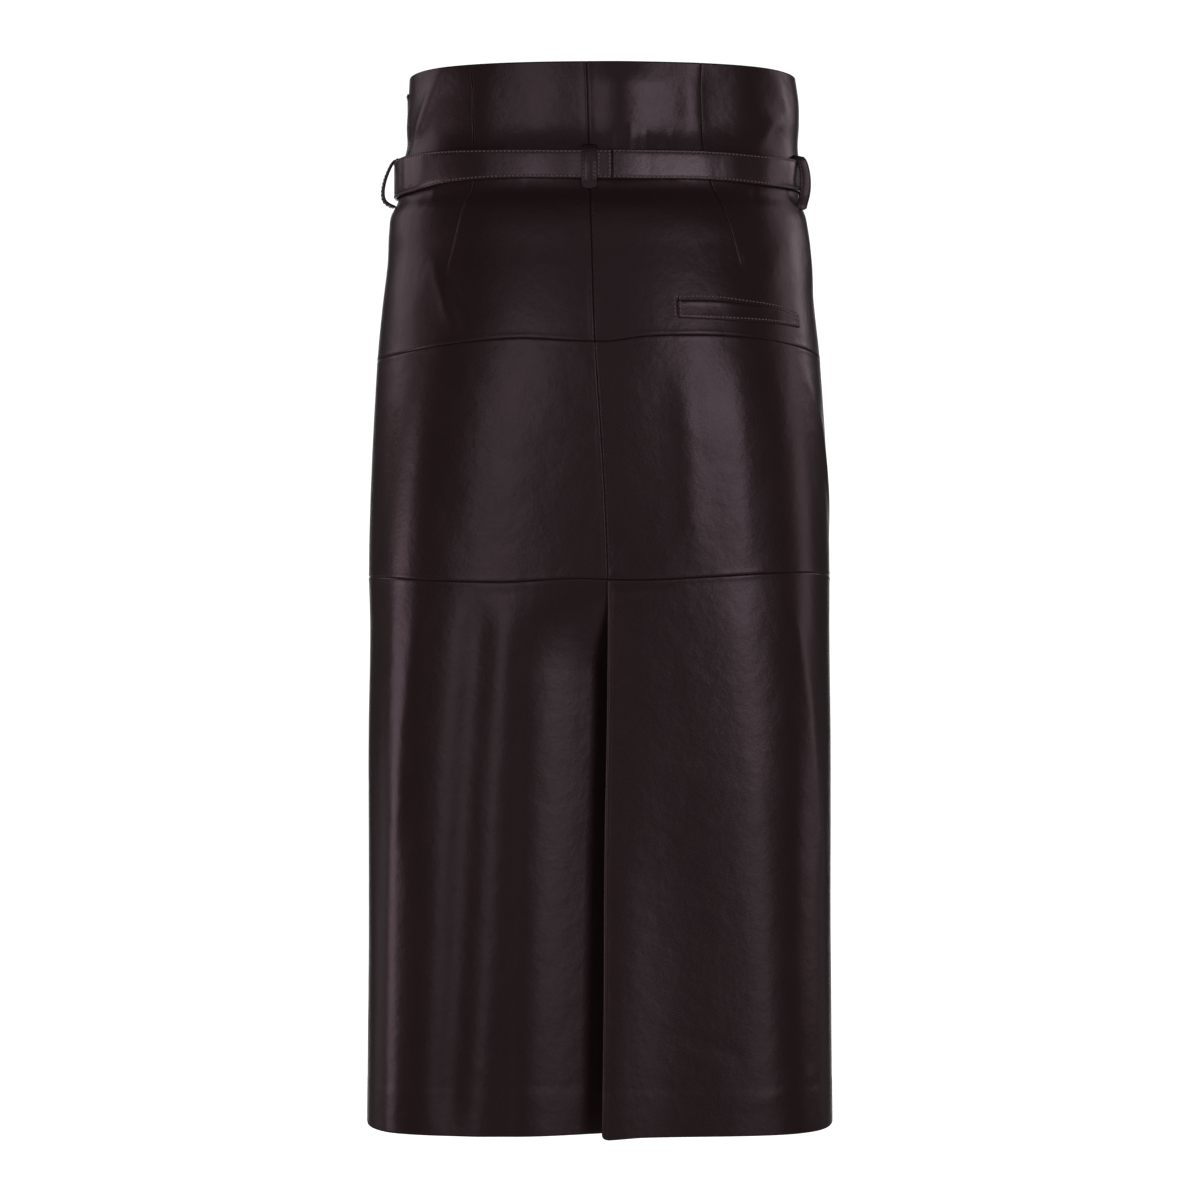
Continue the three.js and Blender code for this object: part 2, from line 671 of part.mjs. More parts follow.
// Its underlap reaches past the vent's edge, inside the right lower back
function backLowerLeft() {
  return panel({
    guides: [
      { line: beside(sideLeft, halfGap), cells: 17 },
      { line: (height) => centreBack(height) - VENT_APPROACH, cells: 4 },
      { line: centreBack, cells: 3 },
      { line: (height) => centreBack(height) + VENT_UNDERLAP },
    ],
    rows: LOWER_ROWS,
    lower: hemEdge,
    upper: belowLowerSeam,
    extra: ventSink,
    under: hemTurnUp,
  });
}

function backLowerRight() {
  return panel({
    guides: [
      { line: centreBack, cells: 5 },
      { line: (height) => centreBack(height) + VENT_UNDERLAP, cells: 15 },
      { line: beside(sideRight, -halfGap) },
    ],
    rows: LOWER_ROWS,
    lower: ventHem,
    upper: belowLowerSeam,
    extra: ventKick,
    under: hemTurnUp,
  });
}

function frontLower() {
  return panel({
    guides: [
      { line: beside(sideRight, halfGap), cells: 26 },
      { line: beside(sideLeftFromFront, -halfGap) },
    ],
    rows: FRONT_LOWER_ROWS,
    lower: hemEdge,
    upper: belowLowerSeam,
    under: hemTurnUp,
  });
}

function pocketWelt() {
  const last = WELT_EDGES[WELT_EDGES.length - 1];
  return panel({
    guides: [
      { line: () => WELT_EDGES[0].turn, cells: 10 },
      { line: () => last.turn },
    ],
    rows: [-120, -113, -106],
    lower: curveThrough(WELT_EDGES, 'turn', 'bottom'),
    upper: curveThrough(WELT_EDGES, 'turn', 'top'),
    lift: LAY_GAP + WELT_THICK,
    thick: WELT_THICK,
  });
}

function zipTape(side) {
  const near = beside(sideLeft, side * ZIP_CHANNEL);
  const far = beside(sideLeft, side * (ZIP_CHANNEL + ZIP_TAPE_WIDTH));
  const rows = YOKE_ROWS.filter((row) => row > ZIP_BOTTOM && row < ZIP_TOP);
  return panel({
    guides: side > 0 ? [{ line: near, cells: 1 }, { line: far }] : [{ line: far, cells: 1 }, { line: near }],
    rows: [ZIP_BOTTOM, ...rows, ZIP_TOP],
    lower: () => ZIP_BOTTOM,
    upper: () => ZIP_TOP,
    lift: -WALL - ZIP_TAPE_GAP,
    thick: ZIP_TAPE_THICK,
  });
}

// The belt's line: level, at the seat, moved out by lift
function beltPoint(turn, lift) {
  const around = formPoint(turn + 0.5, BELT_SEAT).sub(formPoint(turn - 0.5, BELT_SEAT));
  const out = new THREE.Vector3(around.y, -around.x, 0).normalize();
  return formPoint(turn, BELT_SEAT).setZ(0).addScaledVector(out, lift);
}

// The turn near centre front whose point lies at a distance across, towards +X
function frontTurn(across) {
  let low = FRONT - 70;
  let high = FRONT + 70;
  for (let pass = 0; pass < 40; pass += 1) {
    const middle = (low + high) / 2;
    if (formPoint(middle, BELT_SEAT).x > across) low = middle;
    else high = middle;
  }
  return (low + high) / 2;
}

// A strap along a level path of { point, top, bottom }, its thickness centred on the path
function strap(path) {
  const outer = [];
  const inner = [];
  path.forEach(({ point, top, bottom }, i) => {
    const before = path[Math.max(0, i - 1)].point;
    const after = path[Math.min(path.length - 1, i + 1)].point;
    const along = after.clone().sub(before).normalize();
    const out = new THREE.Vector3(along.y, -along.x, 0).multiplyScalar(BELT_THICK / 2);
    const outside = point.clone().add(out);
    const inside = point.clone().sub(out);
    outer.push([outside.clone().setZ(bottom), outside.clone().setZ(top)]);
    inner.push([inside.clone().setZ(bottom), inside.clone().setZ(top)]);
  });
  return wallBetween(outer, inner);
}

function beltStation(turn, lift) {
  const at = turn > 240 ? turn - 360 : turn;
  return { point: beltPoint(turn, lift), top: beltTop(at), bottom: beltBottom(at) };
}

function turnsBetween(from, to) {
  const steps = Math.ceil(Math.abs(to - from) / BELT_STEP);
  return Array.from({ length: steps + 1 }, (_, i) => lerp(from, to, i / steps));
}

// Listed from the buckle round the left side to the join beside centre back
function beltLeft() {
  const seated = BELT_LIFT + BELT_THICK / 2;
  const barTurn = frontTurn(-BUCKLE_HALF_WIDTH);
  const bar = beltPoint(barTurn, HAIRPIN_LIFT);
  const hairpin = [];
  for (let degrees = -90; degrees <= 90; degrees += 30) {
    const angle = degToRad(degrees);
    const swing = new THREE.Vector3(Math.cos(angle), Math.sin(angle), 0).multiplyScalar(HAIRPIN_RADIUS);
    hairpin.push({ point: bar.clone().add(swing), top: beltTop(FRONT), bottom: beltBottom(FRONT) });
  }
  const returning = [...STRAP_RETURN].reverse().map((row) => beltStation(frontTurn(row.across), row.lift));
  const leaving = [...LEFT_STRAP_END].reverse().map((row) => beltStation(frontTurn(row.across), row.lift));
  const joinTurn = BELT_JOIN - halfGap / millimetresPerDegree(BELT_JOIN, BELT_SEAT);
  const start = frontTurn(LEFT_STRAP_END[0].across - BELT_STEP);
  const ring = turnsBetween(start, joinTurn + 360).map((turn) => beltStation(turn, seated));
  return strap([...returning, ...hairpin, ...leaving, ...ring]);
}

function beltRight() {
  const seated = BELT_LIFT + BELT_THICK / 2;
  const joinTurn = BELT_JOIN + halfGap / millimetresPerDegree(BELT_JOIN, BELT_SEAT);
  const end = frontTurn(RIGHT_STRAP_END[0].across + BELT_STEP);
  const ring = turnsBetween(joinTurn, end).map((turn) => beltStation(turn, seated));
  const tip = RIGHT_STRAP_END[RIGHT_STRAP_END.length - 1].across;
  const fastened = RIGHT_STRAP_END.map((row) => {
    const station = beltStation(frontTurn(row.across), row.lift);
    const left = clamp((row.across - tip) / TAIL_TAPER, 0, 1);
    const share = lerp(0.25, 1, Math.sqrt(1 - (1 - left) ** 2));
    return { ...station, top: station.top * share, bottom: station.bottom * share };
  });
  return strap([...ring, ...fastened]);
}

// Booleans, for the slot and hole of the belt and for small hardware
function solidOf(geometry) {
  const bare = geometry.clone();
  bare.deleteAttribute('normal');
  bare.deleteAttribute('uv');
  const merged = mergeVertices(bare, 1e-3);
  return new wasm.Manifold(new wasm.Mesh({
    numProp: 3,
    vertProperties: merged.getAttribute('position').array,
    triVerts: new Uint32Array(merged.getIndex().array),
  }));
}

function geometryOf(solid) {
  const mesh = solid.getMesh();
  return closedGeometry(Array.from(mesh.vertProperties), Array.from(mesh.triVerts));
}

function cut(geometry, ...tools) {
  return geometryOf(tools.reduce((left, tool) => left.subtract(solidOf(tool)), solidOf(geometry)));
}

function join(geometry, ...others) {
  return geometryOf(others.reduce((left, other) => left.add(solidOf(other)), solidOf(geometry)));
}

function boxAt(width, depth, height, x, y, z) {
  return new THREE.BoxGeometry(width, depth, height).translate(x, y, z);
}

const frontY = beltPoint(FRONT, 0).y;
const barY = beltPoint(frontTurn(-BUCKLE_HALF_WIDTH), HAIRPIN_LIFT).y;

function beltLeftSlotted() {
  const eyeRoom = 2 * PRONG_EYE + 2;
  return cut(
    beltLeft(),
    boxAt(eyeRoom, 14, PRONG_SLOT_HEIGHT, -BUCKLE_HALF_WIDTH, barY, 0),
  );
}

function beltRightHoled() {
  return cut(beltRight(), boxAt(PRONG_HOLE_LENGTH, 14, PRONG_HOLE_HEIGHT, 1, frontY + 6, 0));
}

function roundedRectangle(shape, halfWidth, halfHeight, radius) {
  shape.moveTo(halfWidth, -halfHeight + radius);
  shape.lineTo(halfWidth, halfHeight - radius);
  shape.absarc(halfWidth - radius, halfHeight - radius, radius, 0, Math.PI / 2, false);
  shape.lineTo(-halfWidth + radius, halfHeight);
  shape.absarc(-halfWidth + radius, halfHeight - radius, radius, Math.PI / 2, Math.PI, false);
  shape.lineTo(-halfWidth, -halfHeight + radius);
  shape.absarc(-halfWidth + radius, -halfHeight + radius, radius, Math.PI, Math.PI * 1.5, false);
  shape.lineTo(halfWidth - radius, -halfHeight);
  shape.absarc(halfWidth - radius, -halfHeight + radius, radius, -Math.PI / 2, 0, false);
  return shape;
}

function extruded(shape, depth, curveSegments) {
  const geometry = new THREE.ExtrudeGeometry(shape, { depth, bevelEnabled: false, curveSegments, steps: 1 });
  return geometry.translate(0, 0, -depth / 2);
}

// A rectangular frame with rounded corners, upright in front of the belt
function buckleFrame() {
  const r = BUCKLE_BAR_RADIUS;
  const outline = roundedRectangle(
    new THREE.Shape(), BUCKLE_HALF_WIDTH + r, BUCKLE_HALF_HEIGHT + r, BUCKLE_CORNER,
  );
  outline.holes.push(roundedRectangle(
    new THREE.Path(), BUCKLE_HALF_WIDTH - r, BUCKLE_HALF_HEIGHT - r, BUCKLE_CORNER - 2 * r,
  ));
  return extruded(outline, 2 * r, 3).rotateX(Math.PI / 2).translate(0, barY, 0);
}

// An eye round the frame's left bar, and a straight prong whose tip rests on the right bar
function buckleProng() {
  const eye = new THREE.Shape();
  eye.absarc(0, 0, PRONG_EYE, 0, 2 * Math.PI, false);
  const hole = new THREE.Path();
  hole.absarc(0, 0, PRONG_EYE_HOLE, 0, 2 * Math.PI, true);
  eye.holes.push(hole);
  const eyeRing = extruded(eye, PRONG_WIDTH, 8).translate(-BUCKLE_HALF_WIDTH, barY, 0);
  const from = new THREE.Vector2(-BUCKLE_HALF_WIDTH + (PRONG_EYE + PRONG_EYE_HOLE) / 2, barY + 1.1);
  const to = new THREE.Vector2(PRONG_TIP, frontY + PRONG_TIP_LIFT);
  const along = to.clone().sub(from).normalize();
  const half = new THREE.Vector2(-along.y, along.x).multiplyScalar(PRONG_THICK / 2);
  const arm = new THREE.Shape([
    from.clone().sub(half),
    to.clone().sub(half),
    to.clone().addScaledVector(along, PRONG_THICK / 2),
    to.clone().add(half),
    from.clone().add(half),
  ]);
  return join(eyeRing, extruded(arm, PRONG_WIDTH, 2));
}

// A frame that stands square to the leather: x out, y along the belt, z up
function placedAt(geometry, turn, height) {
  const origin = beltPoint(turn, 0);
  const ahead = beltPoint(turn + 0.5, 0).sub(beltPoint(turn - 0.5, 0)).normalize();
  const out = new THREE.Vector3(ahead.y, -ahead.x, 0);
  const frame = new THREE.Matrix4().makeBasis(out, ahead, new THREE.Vector3(0, 0, 1));
  return geometry.applyMatrix4(frame.setPosition(origin.x, origin.y, height));
}

// A closed leather band round both straps of the belt, left of the buckle
function beltKeeper() {
  const middle = (KEEPER_INNER + KEEPER_OUTER) / 2;
  const halfOut = (KEEPER_OUTER - KEEPER_INNER) / 2;
  const outline = roundedRectangle(
    new THREE.Shape(), halfOut + KEEPER_THICK, KEEPER_HALF_HEIGHT + KEEPER_THICK, 1.5,
  );
  outline.holes.push(roundedRectangle(new THREE.Path(), halfOut, KEEPER_HALF_HEIGHT, 0.4));
  const band = extruded(outline, KEEPER_WIDTH, 2).rotateX(Math.PI / 2).translate(middle, 0, 0);
  return placedAt(band, frontTurn(KEEPER_ACROSS), 0);
}

// A strip in a belt loop's upright plane, made from the leather's own points moved out
function beltLoop(turn, rows) {
  const origin = beltPoint(turn, 0);
  const ahead = beltPoint(turn + 0.5, 0).sub(beltPoint(turn - 0.5, 0)).normalize();
  const out = new THREE.Vector3(ahead.y, -ahead.x, 0);
  const inner = rows.map((row) => {
    const onLeather = formPoint(turn, row.height).sub(origin).dot(out);
    return new THREE.Vector2(onLeather + LAY_GAP + row.out, row.height);
  });
  const outer = inner.map((point, i) => {
    const before = inner[Math.max(0, i - 1)];
    const after = inner[Math.min(inner.length - 1, i + 1)];
    const along = after.clone().sub(before).normalize();
    return point.clone().add(new THREE.Vector2(-along.y, along.x).multiplyScalar(LOOP_THICK));
  });
  const strip = extruded(new THREE.Shape([...inner, ...outer.reverse()]), LOOP_WIDTH, 1);
  return placedAt(strip.rotateX(Math.PI / 2), turn, 0);
}

// The slider stays behind the seam, and its neck carries a pin outside for the pull
function zipSlider() {
  const body = boxAt(
    SLIDER_OUTER - SLIDER_INNER, SLIDER_WIDTH, SLIDER_LENGTH,
    -(SLIDER_OUTER + SLIDER_INNER) / 2, 0, SLIDER_HEIGHT,
  );
  const neckFrom = SLIDER_OUTER - 1;
  const neck = boxAt(
    PIN_REACH + 1 - neckFrom, NECK_WIDTH, NECK_LENGTH,
    -(PIN_REACH + 1 + neckFrom) / 2, 0, SLIDER_HEIGHT,
  );
  const pin = new THREE.CylinderGeometry(PIN_RADIUS, PIN_RADIUS, 2 * PIN_HALF_LENGTH, 10);
  const heads = [-1, 1].map((side) => {
    const head = new THREE.CylinderGeometry(PIN_HEAD_RADIUS, PIN_HEAD_RADIUS, PIN_HEAD_LENGTH, 10);
    const away = side * (PIN_HALF_LENGTH - PIN_HEAD_LENGTH / 2);
    return head.translate(-PIN_REACH, away, SLIDER_HEIGHT);
  });
  return join(body, neck, pin.translate(-PIN_REACH, 0, SLIDER_HEIGHT), ...heads);
}

// A small tongue that hangs from the pin on two eyes
function zipPull() {
  const eyeWidth = PULL_WIDTH / 2 - PULL_FORK;
  const eyes = [-1, 1].map((side) => {
    const eye = new THREE.Shape();
    eye.absarc(0, 0, PULL_EYE_RADIUS, 0, 2 * Math.PI, false);
    const hole = new THREE.Path();
    hole.absarc(0, 0, PULL_EYE_HOLE, 0, 2 * Math.PI, true);
    eye.holes.push(hole);
    const away = side * (PULL_FORK + eyeWidth / 2);
    return extruded(eye, eyeWidth, 6).rotateX(Math.PI / 2).translate(-PIN_REACH, away, SLIDER_HEIGHT);
  });
  const rootHeight = SLIDER_HEIGHT - (PULL_EYE_RADIUS + PULL_EYE_HOLE) / 2;
  const arms = [-1, 1].map((side) => {
    const away = side * (PULL_FORK + eyeWidth / 2);
    return boxAt(PULL_THICK, eyeWidth, PULL_FORK_DEPTH, -PIN_REACH, away, rootHeight - PULL_FORK_DEPTH / 2);
  });
  const half = PULL_WIDTH / 2;
  const top = rootHeight - PULL_FORK_DEPTH + 1.5;
  const bottom = SLIDER_HEIGHT - PULL_LENGTH;
  const tongue = new THREE.Shape();
  tongue.moveTo(-half, top);
  tongue.lineTo(half, top);
  tongue.lineTo(half * 0.8, bottom + half);
  tongue.absarc(0, bottom + half * 0.8, half * 0.8, 0, Math.PI, true);
  tongue.lineTo(-half * 0.8, bottom + half);
  const blade = extruded(tongue, PULL_THICK, 6).rotateX(Math.PI / 2).rotateZ(Math.PI / 2);
  return join(blade.translate(-PIN_REACH, 0, 0), ...arms, ...eyes);
}

const skirt = new THREE.Group();

function add(name, geometry, look) {
  const mesh = new THREE.Mesh(geometry, new THREE.MeshStandardMaterial(look));
  mesh.name = name;
  skirt.add(mesh);
}

add('back_yoke_left', backYokeLeft(), leather);
add('back_yoke_right', backYokeRight(), leather);
add('back_middle_left', backMiddle(beside(sideLeft, halfGap), beside(centreBack, -halfGap)), leather);
add('back_middle_right', backMiddle(beside(centreBack, halfGap), beside(sideRight, -halfGap)), leather);
add('back_lower_left', backLowerLeft(), leather);
add('back_lower_right', backLowerRight(), leather);
add('front_yoke', frontYoke(), leather);
add('front_middle', frontMiddle(), leather);
add('front_lower', frontLower(), leather);
add('pocket_welt', pocketWelt(), strapLeather);
add('belt_left', beltLeftSlotted(), strapLeather);
add('belt_right', beltRightHoled(), strapLeather);
add('belt_keeper', beltKeeper(), strapLeather);
add('buckle_frame', buckleFrame(), darkMetal);
add('buckle_prong', buckleProng(), darkMetal);
add('loop_back', beltLoop(LOOP_BACK_TURN, LOOP_BACK), strapLeather);
add('loop_left', beltLoop(LOOP_LEFT_TURN, LOOP_LEFT), strapLeather);
add('loop_right', beltLoop(LOOP_RIGHT_TURN, LOOP_RIGHT), strapLeather);
add('zip_tape_back', zipTape(1), zipCloth);
add('zip_tape_front', zipTape(-1), zipCloth);
add('zip_slider', zipSlider(), darkMetal);
add('zip_pull', zipPull(), darkMetal);

export default skirt;
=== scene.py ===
# %% [markdown]
# A leather skirt with its own belt, seen from behind.
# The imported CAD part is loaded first, as the fixed frame: it says where every panel, strap and bit of
# hardware sits and how large it is. Each step then dresses one of those solids with a finer piece.
# %% Load the frame
import json
import math
import bmesh
import bpy
import numpy as np
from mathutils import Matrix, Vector, noise

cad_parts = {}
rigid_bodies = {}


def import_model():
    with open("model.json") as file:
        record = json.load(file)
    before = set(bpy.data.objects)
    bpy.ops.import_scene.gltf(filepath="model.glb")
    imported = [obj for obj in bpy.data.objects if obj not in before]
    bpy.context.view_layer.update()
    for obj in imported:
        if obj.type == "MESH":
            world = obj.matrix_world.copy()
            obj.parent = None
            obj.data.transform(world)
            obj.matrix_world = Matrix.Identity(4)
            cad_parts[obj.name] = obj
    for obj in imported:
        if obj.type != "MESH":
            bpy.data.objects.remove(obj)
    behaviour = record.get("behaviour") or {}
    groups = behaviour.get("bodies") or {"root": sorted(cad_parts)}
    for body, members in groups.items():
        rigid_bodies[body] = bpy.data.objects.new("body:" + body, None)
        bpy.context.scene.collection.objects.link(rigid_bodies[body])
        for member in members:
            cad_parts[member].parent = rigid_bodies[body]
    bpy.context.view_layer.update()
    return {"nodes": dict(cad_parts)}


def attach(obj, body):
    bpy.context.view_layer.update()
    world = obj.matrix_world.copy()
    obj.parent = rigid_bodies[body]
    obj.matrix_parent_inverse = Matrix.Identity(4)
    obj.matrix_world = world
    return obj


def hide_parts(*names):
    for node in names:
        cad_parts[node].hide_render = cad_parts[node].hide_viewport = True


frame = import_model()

MM = 0.001
print("nodes in the frame:", len(frame["nodes"]))

# %% [markdown]
# The pattern. The skirt is cut in three tiers, so its form is a stack of level sections: how far each
# reaches to the left, the right, the back and the front, and how square its ring is. A maker's dress form
# is measured in the same way. A place on the skirt is a turn, in degrees from centre back towards the
# wearer's right, and a height in millimetres from the belt.
# %% The sections of the form
def columns(names, rows):
    """A table with named columns."""
    return dict(zip(names.split(), np.array(rows, float).T))


SECTIONS = columns("height left right back front square", [
    (-747, 185.2, 184.8, 121, 110, 0.085),
    (-600, 184.3, 183.8, 120, 109, 0.08),
    (-450, 184.6, 183.8, 120, 108, 0.075),
    (-350, 183.4, 183.2, 122, 108, 0.065),
    (-320, 184.4, 183.2, 123, 108, 0.06),
    (-240, 182.5, 181.4, 127, 109, 0.05),
    (-180, 179.7, 178.2, 130, 110, 0.04),
    (-136, 176.9, 174.7, 130, 110, 0.03),
    (-100, 173.5, 170.9, 127, 109, 0.025),
    (-65, 169.5, 168.5, 122, 107, 0.02),
    (-42, 168.5, 166.0, 118, 106, 0.02),
    (-30, 167.0, 164.0, 114, 104, 0.02),
    (-19, 161.6, 159.8, 108, 101.5, 0.02),
    (0, 160.0, 158.5, 106, 100, 0.02),
    (12, 157.5, 158.8, 104, 98.5, 0.02),
    (26, 153.4, 157.9, 101, 96, 0.025),
    (42, 153.0, 158.9, 101, 96, 0.025),
    (60, 152.2, 158.8, 103, 97, 0.022),
    (81, 152.2, 156.0, 104, 98, 0.026),
])
print("sections:", len(SECTIONS["height"]))

# %% [markdown]
# A curve between the sections. A tailor joins measured points with a curved ruler, so that the outline has
# no corners. Here each column of the table gets a smooth curve that goes through its own values.
# %% Curves through a table
def curve_through(table, along, column):
    """A smooth curve through one column of a table."""
    place, value = table[along], table[column]
    step = np.diff(place)
    rise = np.diff(value) / step
    between = (rise[:-1] * step[1:] + rise[1:] * step[:-1]) / (step[:-1] + step[1:])
    slope = np.concatenate([rise[:1], between, rise[-1:]])

    def at(where):
        here = np.clip(where, place[0], place[-1])
        i = np.clip(np.searchsorted(place, here) - 1, 0, len(step) - 1)
        s = (here - place[i]) / step[i]
        return (
            (2 * s**3 - 3 * s**2 + 1) * value[i]
            + (s**3 - 2 * s**2 + s) * step[i] * slope[i]
            + (3 * s**2 - 2 * s**3) * value[i + 1]
            + (s**3 - s**2) * step[i] * slope[i + 1]
        )

    return at


REACH = {name: curve_through(SECTIONS, "height", name) for name in SECTIONS if name != "height"}
print("curves over the height:", list(REACH))

# %% [markdown]
# The form itself. A point goes once round the ring like the hand of a clock, stretched to the four reaches
# and made a little squarer than an ellipse. The turn is evened out, so that a degree is about as long at the
# sides as at the back. Its outward direction and the length of a degree follow from near points.
# %% Points on the form
EVENNESS = 0.17
NEAR_TURN = 0.5
NEAR_HEIGHT = 1


def form_point(turn, height):
    """The bare form, in millimetres."""
    turn, height = np.broadcast_arrays(np.asarray(turn, float), np.asarray(height, float))
    around = np.radians(turn)
    t = around - EVENNESS / 2 * np.sin(2 * around)
    square = REACH["square"](height)
    across = (np.sin(t) + square * np.sin(3 * t)) / (1 - square)
    deep = (np.cos(t) - square * np.cos(3 * t)) / (1 - square)
    x = across * np.where(across > 0, REACH["right"](height), REACH["left"](height))
    y = -deep * np.where(deep > 0, REACH["back"](height), REACH["front"](height))
    return np.stack([x, y, height], axis=-1)


def unit(vectors):
    return vectors / np.linalg.norm(vectors, axis=-1, keepdims=True)


def form_normal(turn, height):
    around = form_point(turn + NEAR_TURN, height) - form_point(turn - NEAR_TURN, height)
    up = form_point(turn, height + NEAR_HEIGHT) - form_point(turn, height - NEAR_HEIGHT)
    return unit(np.cross(around, up))


def mm_per_degree(turn, height):
    step = form_point(turn + NEAR_TURN, height) - form_point(turn - NEAR_TURN, height)
    return np.linalg.norm(step, axis=-1) / (2 * NEAR_TURN)


def smooth(value, low=0.0, high=1.0):
    """A soft step from 0 to 1."""
    s = np.clip((value - low) / (high - low), 0, 1)
    return s * s * (3 - 2 * s)


def turn_between(start, end):
    """The signed turn from one place to another, the short way round."""
    return (end - start + 540) % 360 - 180


HIP_HEIGHT = -180.0
print("round the hip, mm:", round(float(np.sum(mm_per_degree(np.arange(360.0), HIP_HEIGHT)))))

# %% [markdown]
# The seams. Two cross seams part the tiers, a seam runs down centre back, and below the second cross seam
# it opens into a vent. Darts take in the waist: each is a sewn line that leaves a fine valley. None of
# them is quite straight, because leather is eased as it is sewn, so each is a table of places.
# %% Where the seams and darts run
TOP, HEM = 80, -748.3
LOWER_SEAM = -320
SIDE, FRONT = 90, 180
DART_TIP = -80

CROSS_SEAMS = columns("turn upper lower", [
    (-180, -141, -318),
    (-90, -146, -317.5),
    (-60, -143.5, -318.5),
    (-40, -138, -321),
    (-22, -135, -322),
    (-4, -137.5, -319.2),
    (3, -137.5, -320.2),
    (10, -134.5, -320.4),
    (25, -132.4, -318.2),
    (45, -133.6, -315),
    (62, -138, -314.7),
    (90, -146, -317.5),
    (180, -141, -318),
])
CENTRE_BACK = columns("height turn", [
    (-747, 0.4),
    (-650, 0.75),
    (-530, 0.95),
    (-400, 1.6),
    (-310, 1.7),
    (-247, 0.95),
    (-185, -0.3),
    (-137, -1.4),
    (-65, -2.4),
    (0, -3.3),
    (80, -4.4),
])
BACK_DARTS = columns("height left right", [
    (-150, -50, 47),
    (-79, -46.2, 42.8),
    (-34, -42, 38),
    (-10, -40.1, 35),
    (15, -41.5, 32.5),
    (53, -42.4, 31.4),
    (81, -43.5, 31.9),
])
FRONT_DARTS = columns("height turn", [(-150, 42), (-80, 38), (0, 33), (81, 32)])
print("centre back leans, degrees:", CENTRE_BACK["turn"].min(), "to", CENTRE_BACK["turn"].max())

# %% [markdown]
# The same lines as functions. Each panel asks them where its edges are at any height or turn, so two panels
# that share a seam always meet on it.
# %% Lines of the seams and darts
centre_back = curve_through(CENTRE_BACK, "height", "turn")
dart_left = curve_through(BACK_DARTS, "height", "left")
dart_right = curve_through(BACK_DARTS, "height", "right")
dart_front = curve_through(FRONT_DARTS, "height", "turn")
upper_seam_at = curve_through(CROSS_SEAMS, "turn", "upper")
lower_seam_at = curve_through(CROSS_SEAMS, "turn", "lower")


def wrapped(turn):
    return np.where(turn > FRONT, turn - 360, turn)


def upper_seam(turn):
    return upper_seam_at(wrapped(turn))


def lower_seam(turn):
    return lower_seam_at(wrapped(turn))


def dart_front_right(height):
    return FRONT - dart_front(height)


def dart_front_left(height):
    return FRONT + dart_front(height)


DART_LINES = [dart_left, dart_right, dart_front_right, dart_front_left]
print("darts:", len(DART_LINES))

# %% [markdown]
# The folds. Leather that has been worn keeps long soft ridges and troughs. Each is placed between
# two places on the skirt: a ridge has a positive depth, a trough a negative one, and its width is in
# degrees. They could be simulated, but then they wouldn't lie where this skirt has them.
# %% Long folds
FOLD_EASE = 45
FOLD_EASE_SHARE = 0.4

FOLDS = columns("high high_turn low low_turn width depth", [
    (92, -52, 6, -79, 4.6, 2.3),
    (84, -93, 14, -91, 9, 1.4),
    (86, -40.5, 14, -39.5, 8, 1.2),
    (96, 6.8, 4, 6.5, 9, 4.2),
    (96, 36, 4, 38, 11, -1.4),
    (94, 28.6, 10, 28.6, 4.2, 1.2),
    (86, 61, 44, 67, 5, 1.2),
    (48, 63, 14, 53, 5, 1.4),
    (-60, -55, -136, -39, 4.5, 0.7),
    (-74, -49, -130, -32, 4.5, -0.7),
    (-24, 80, -98, 85.5, 6, 0.9),
    (-40, 66, -98, 51, 6, 0.6),
    (-150, -55, -312, -47.5, 7, 0.4),
    (-145, -43.5, -305, -38, 6, -0.3),
    (-142, 17.6, -312, 15, 8, -0.5),
    (-150, 21.4, -318, 22.6, 3.4, 0.7),
    (-138, 38, -318, 36, 4.5, 0.6),
    (-141, 63.3, -300, 94, 4, 1.1),
    (-322, -57, -1000, -51.5, 5, 0.6),
    (-322, -47, -540, -53, 4, 0.9),
    (-322, -74, -600, -62, 7, -1.2),
    (-322, -28.6, -760, -34, 4.3, -1.9),
    (-320, -20.6, -980, -29.8, 4.4, 1.4),
    (-340, -14.5, -1000, -16.5, 5, -0.5),
    (-326, 8.6, -1000, 8.4, 6, 0.5),
    (-322, 33.4, -760, 40.5, 7, 0.6),
    (-330, 50.4, -560, 68, 4, 1.0),
    (-480, 56, -1000, 54, 7, -0.9),
    (86, 120, 18, 108, 7, 2),
    (86, -127, 16, -115, 7, 2.2),
    (-40, 118, -104, 128, 5, 1.1),
    (-84, 152, -136, 141, 4.5, 0.9),
    (-76, -146, -130, -136, 4.5, -0.8),
    (-38, -114, -100, -121, 5, 1.1),
    (-150, 123, -312, 130, 7, 0.8),
    (-145, 149, -308, 153, 7, -0.7),
    (-150, 176, -312, 183, 9, 0.7),
    (-145, -153, -308, -149, 7, -0.7),
    (-150, -124, -312, -130, 7, 0.8),
    (-322, 119, -1000, 113, 6, 1.3),
    (-326, 136, -900, 134, 6, -1.4),
    (-322, 151, -740, 157, 5.5, 1.9),
    (-336, 170, -1000, 175, 7, -1.2),
    (-322, -165, -1000, -169, 6, 1.7),
    (-326, -149, -660, -146, 5, -1.5),
    (-322, -132, -1000, -127, 6, 1.6),
    (-326, -112, -1000, -109, 5, -1.2),
])


def fold_depth(turn, height):
    total = np.zeros(np.broadcast(turn, height).shape)
    for high, high_turn, low, low_turn, width, depth in zip(*FOLDS.values()):
        along = (high - height) / (high - low)
        away = turn_between(high_turn + (low_turn - high_turn) * along, turn) / width
        rise = min(FOLD_EASE_SHARE, FOLD_EASE / (high - low))
        ease = smooth(along, 0, rise) * smooth(1 - along, 0, rise)
        total += depth * ease * np.exp(-away * away)
    return total


print("folds:", len(FOLDS["high"]))

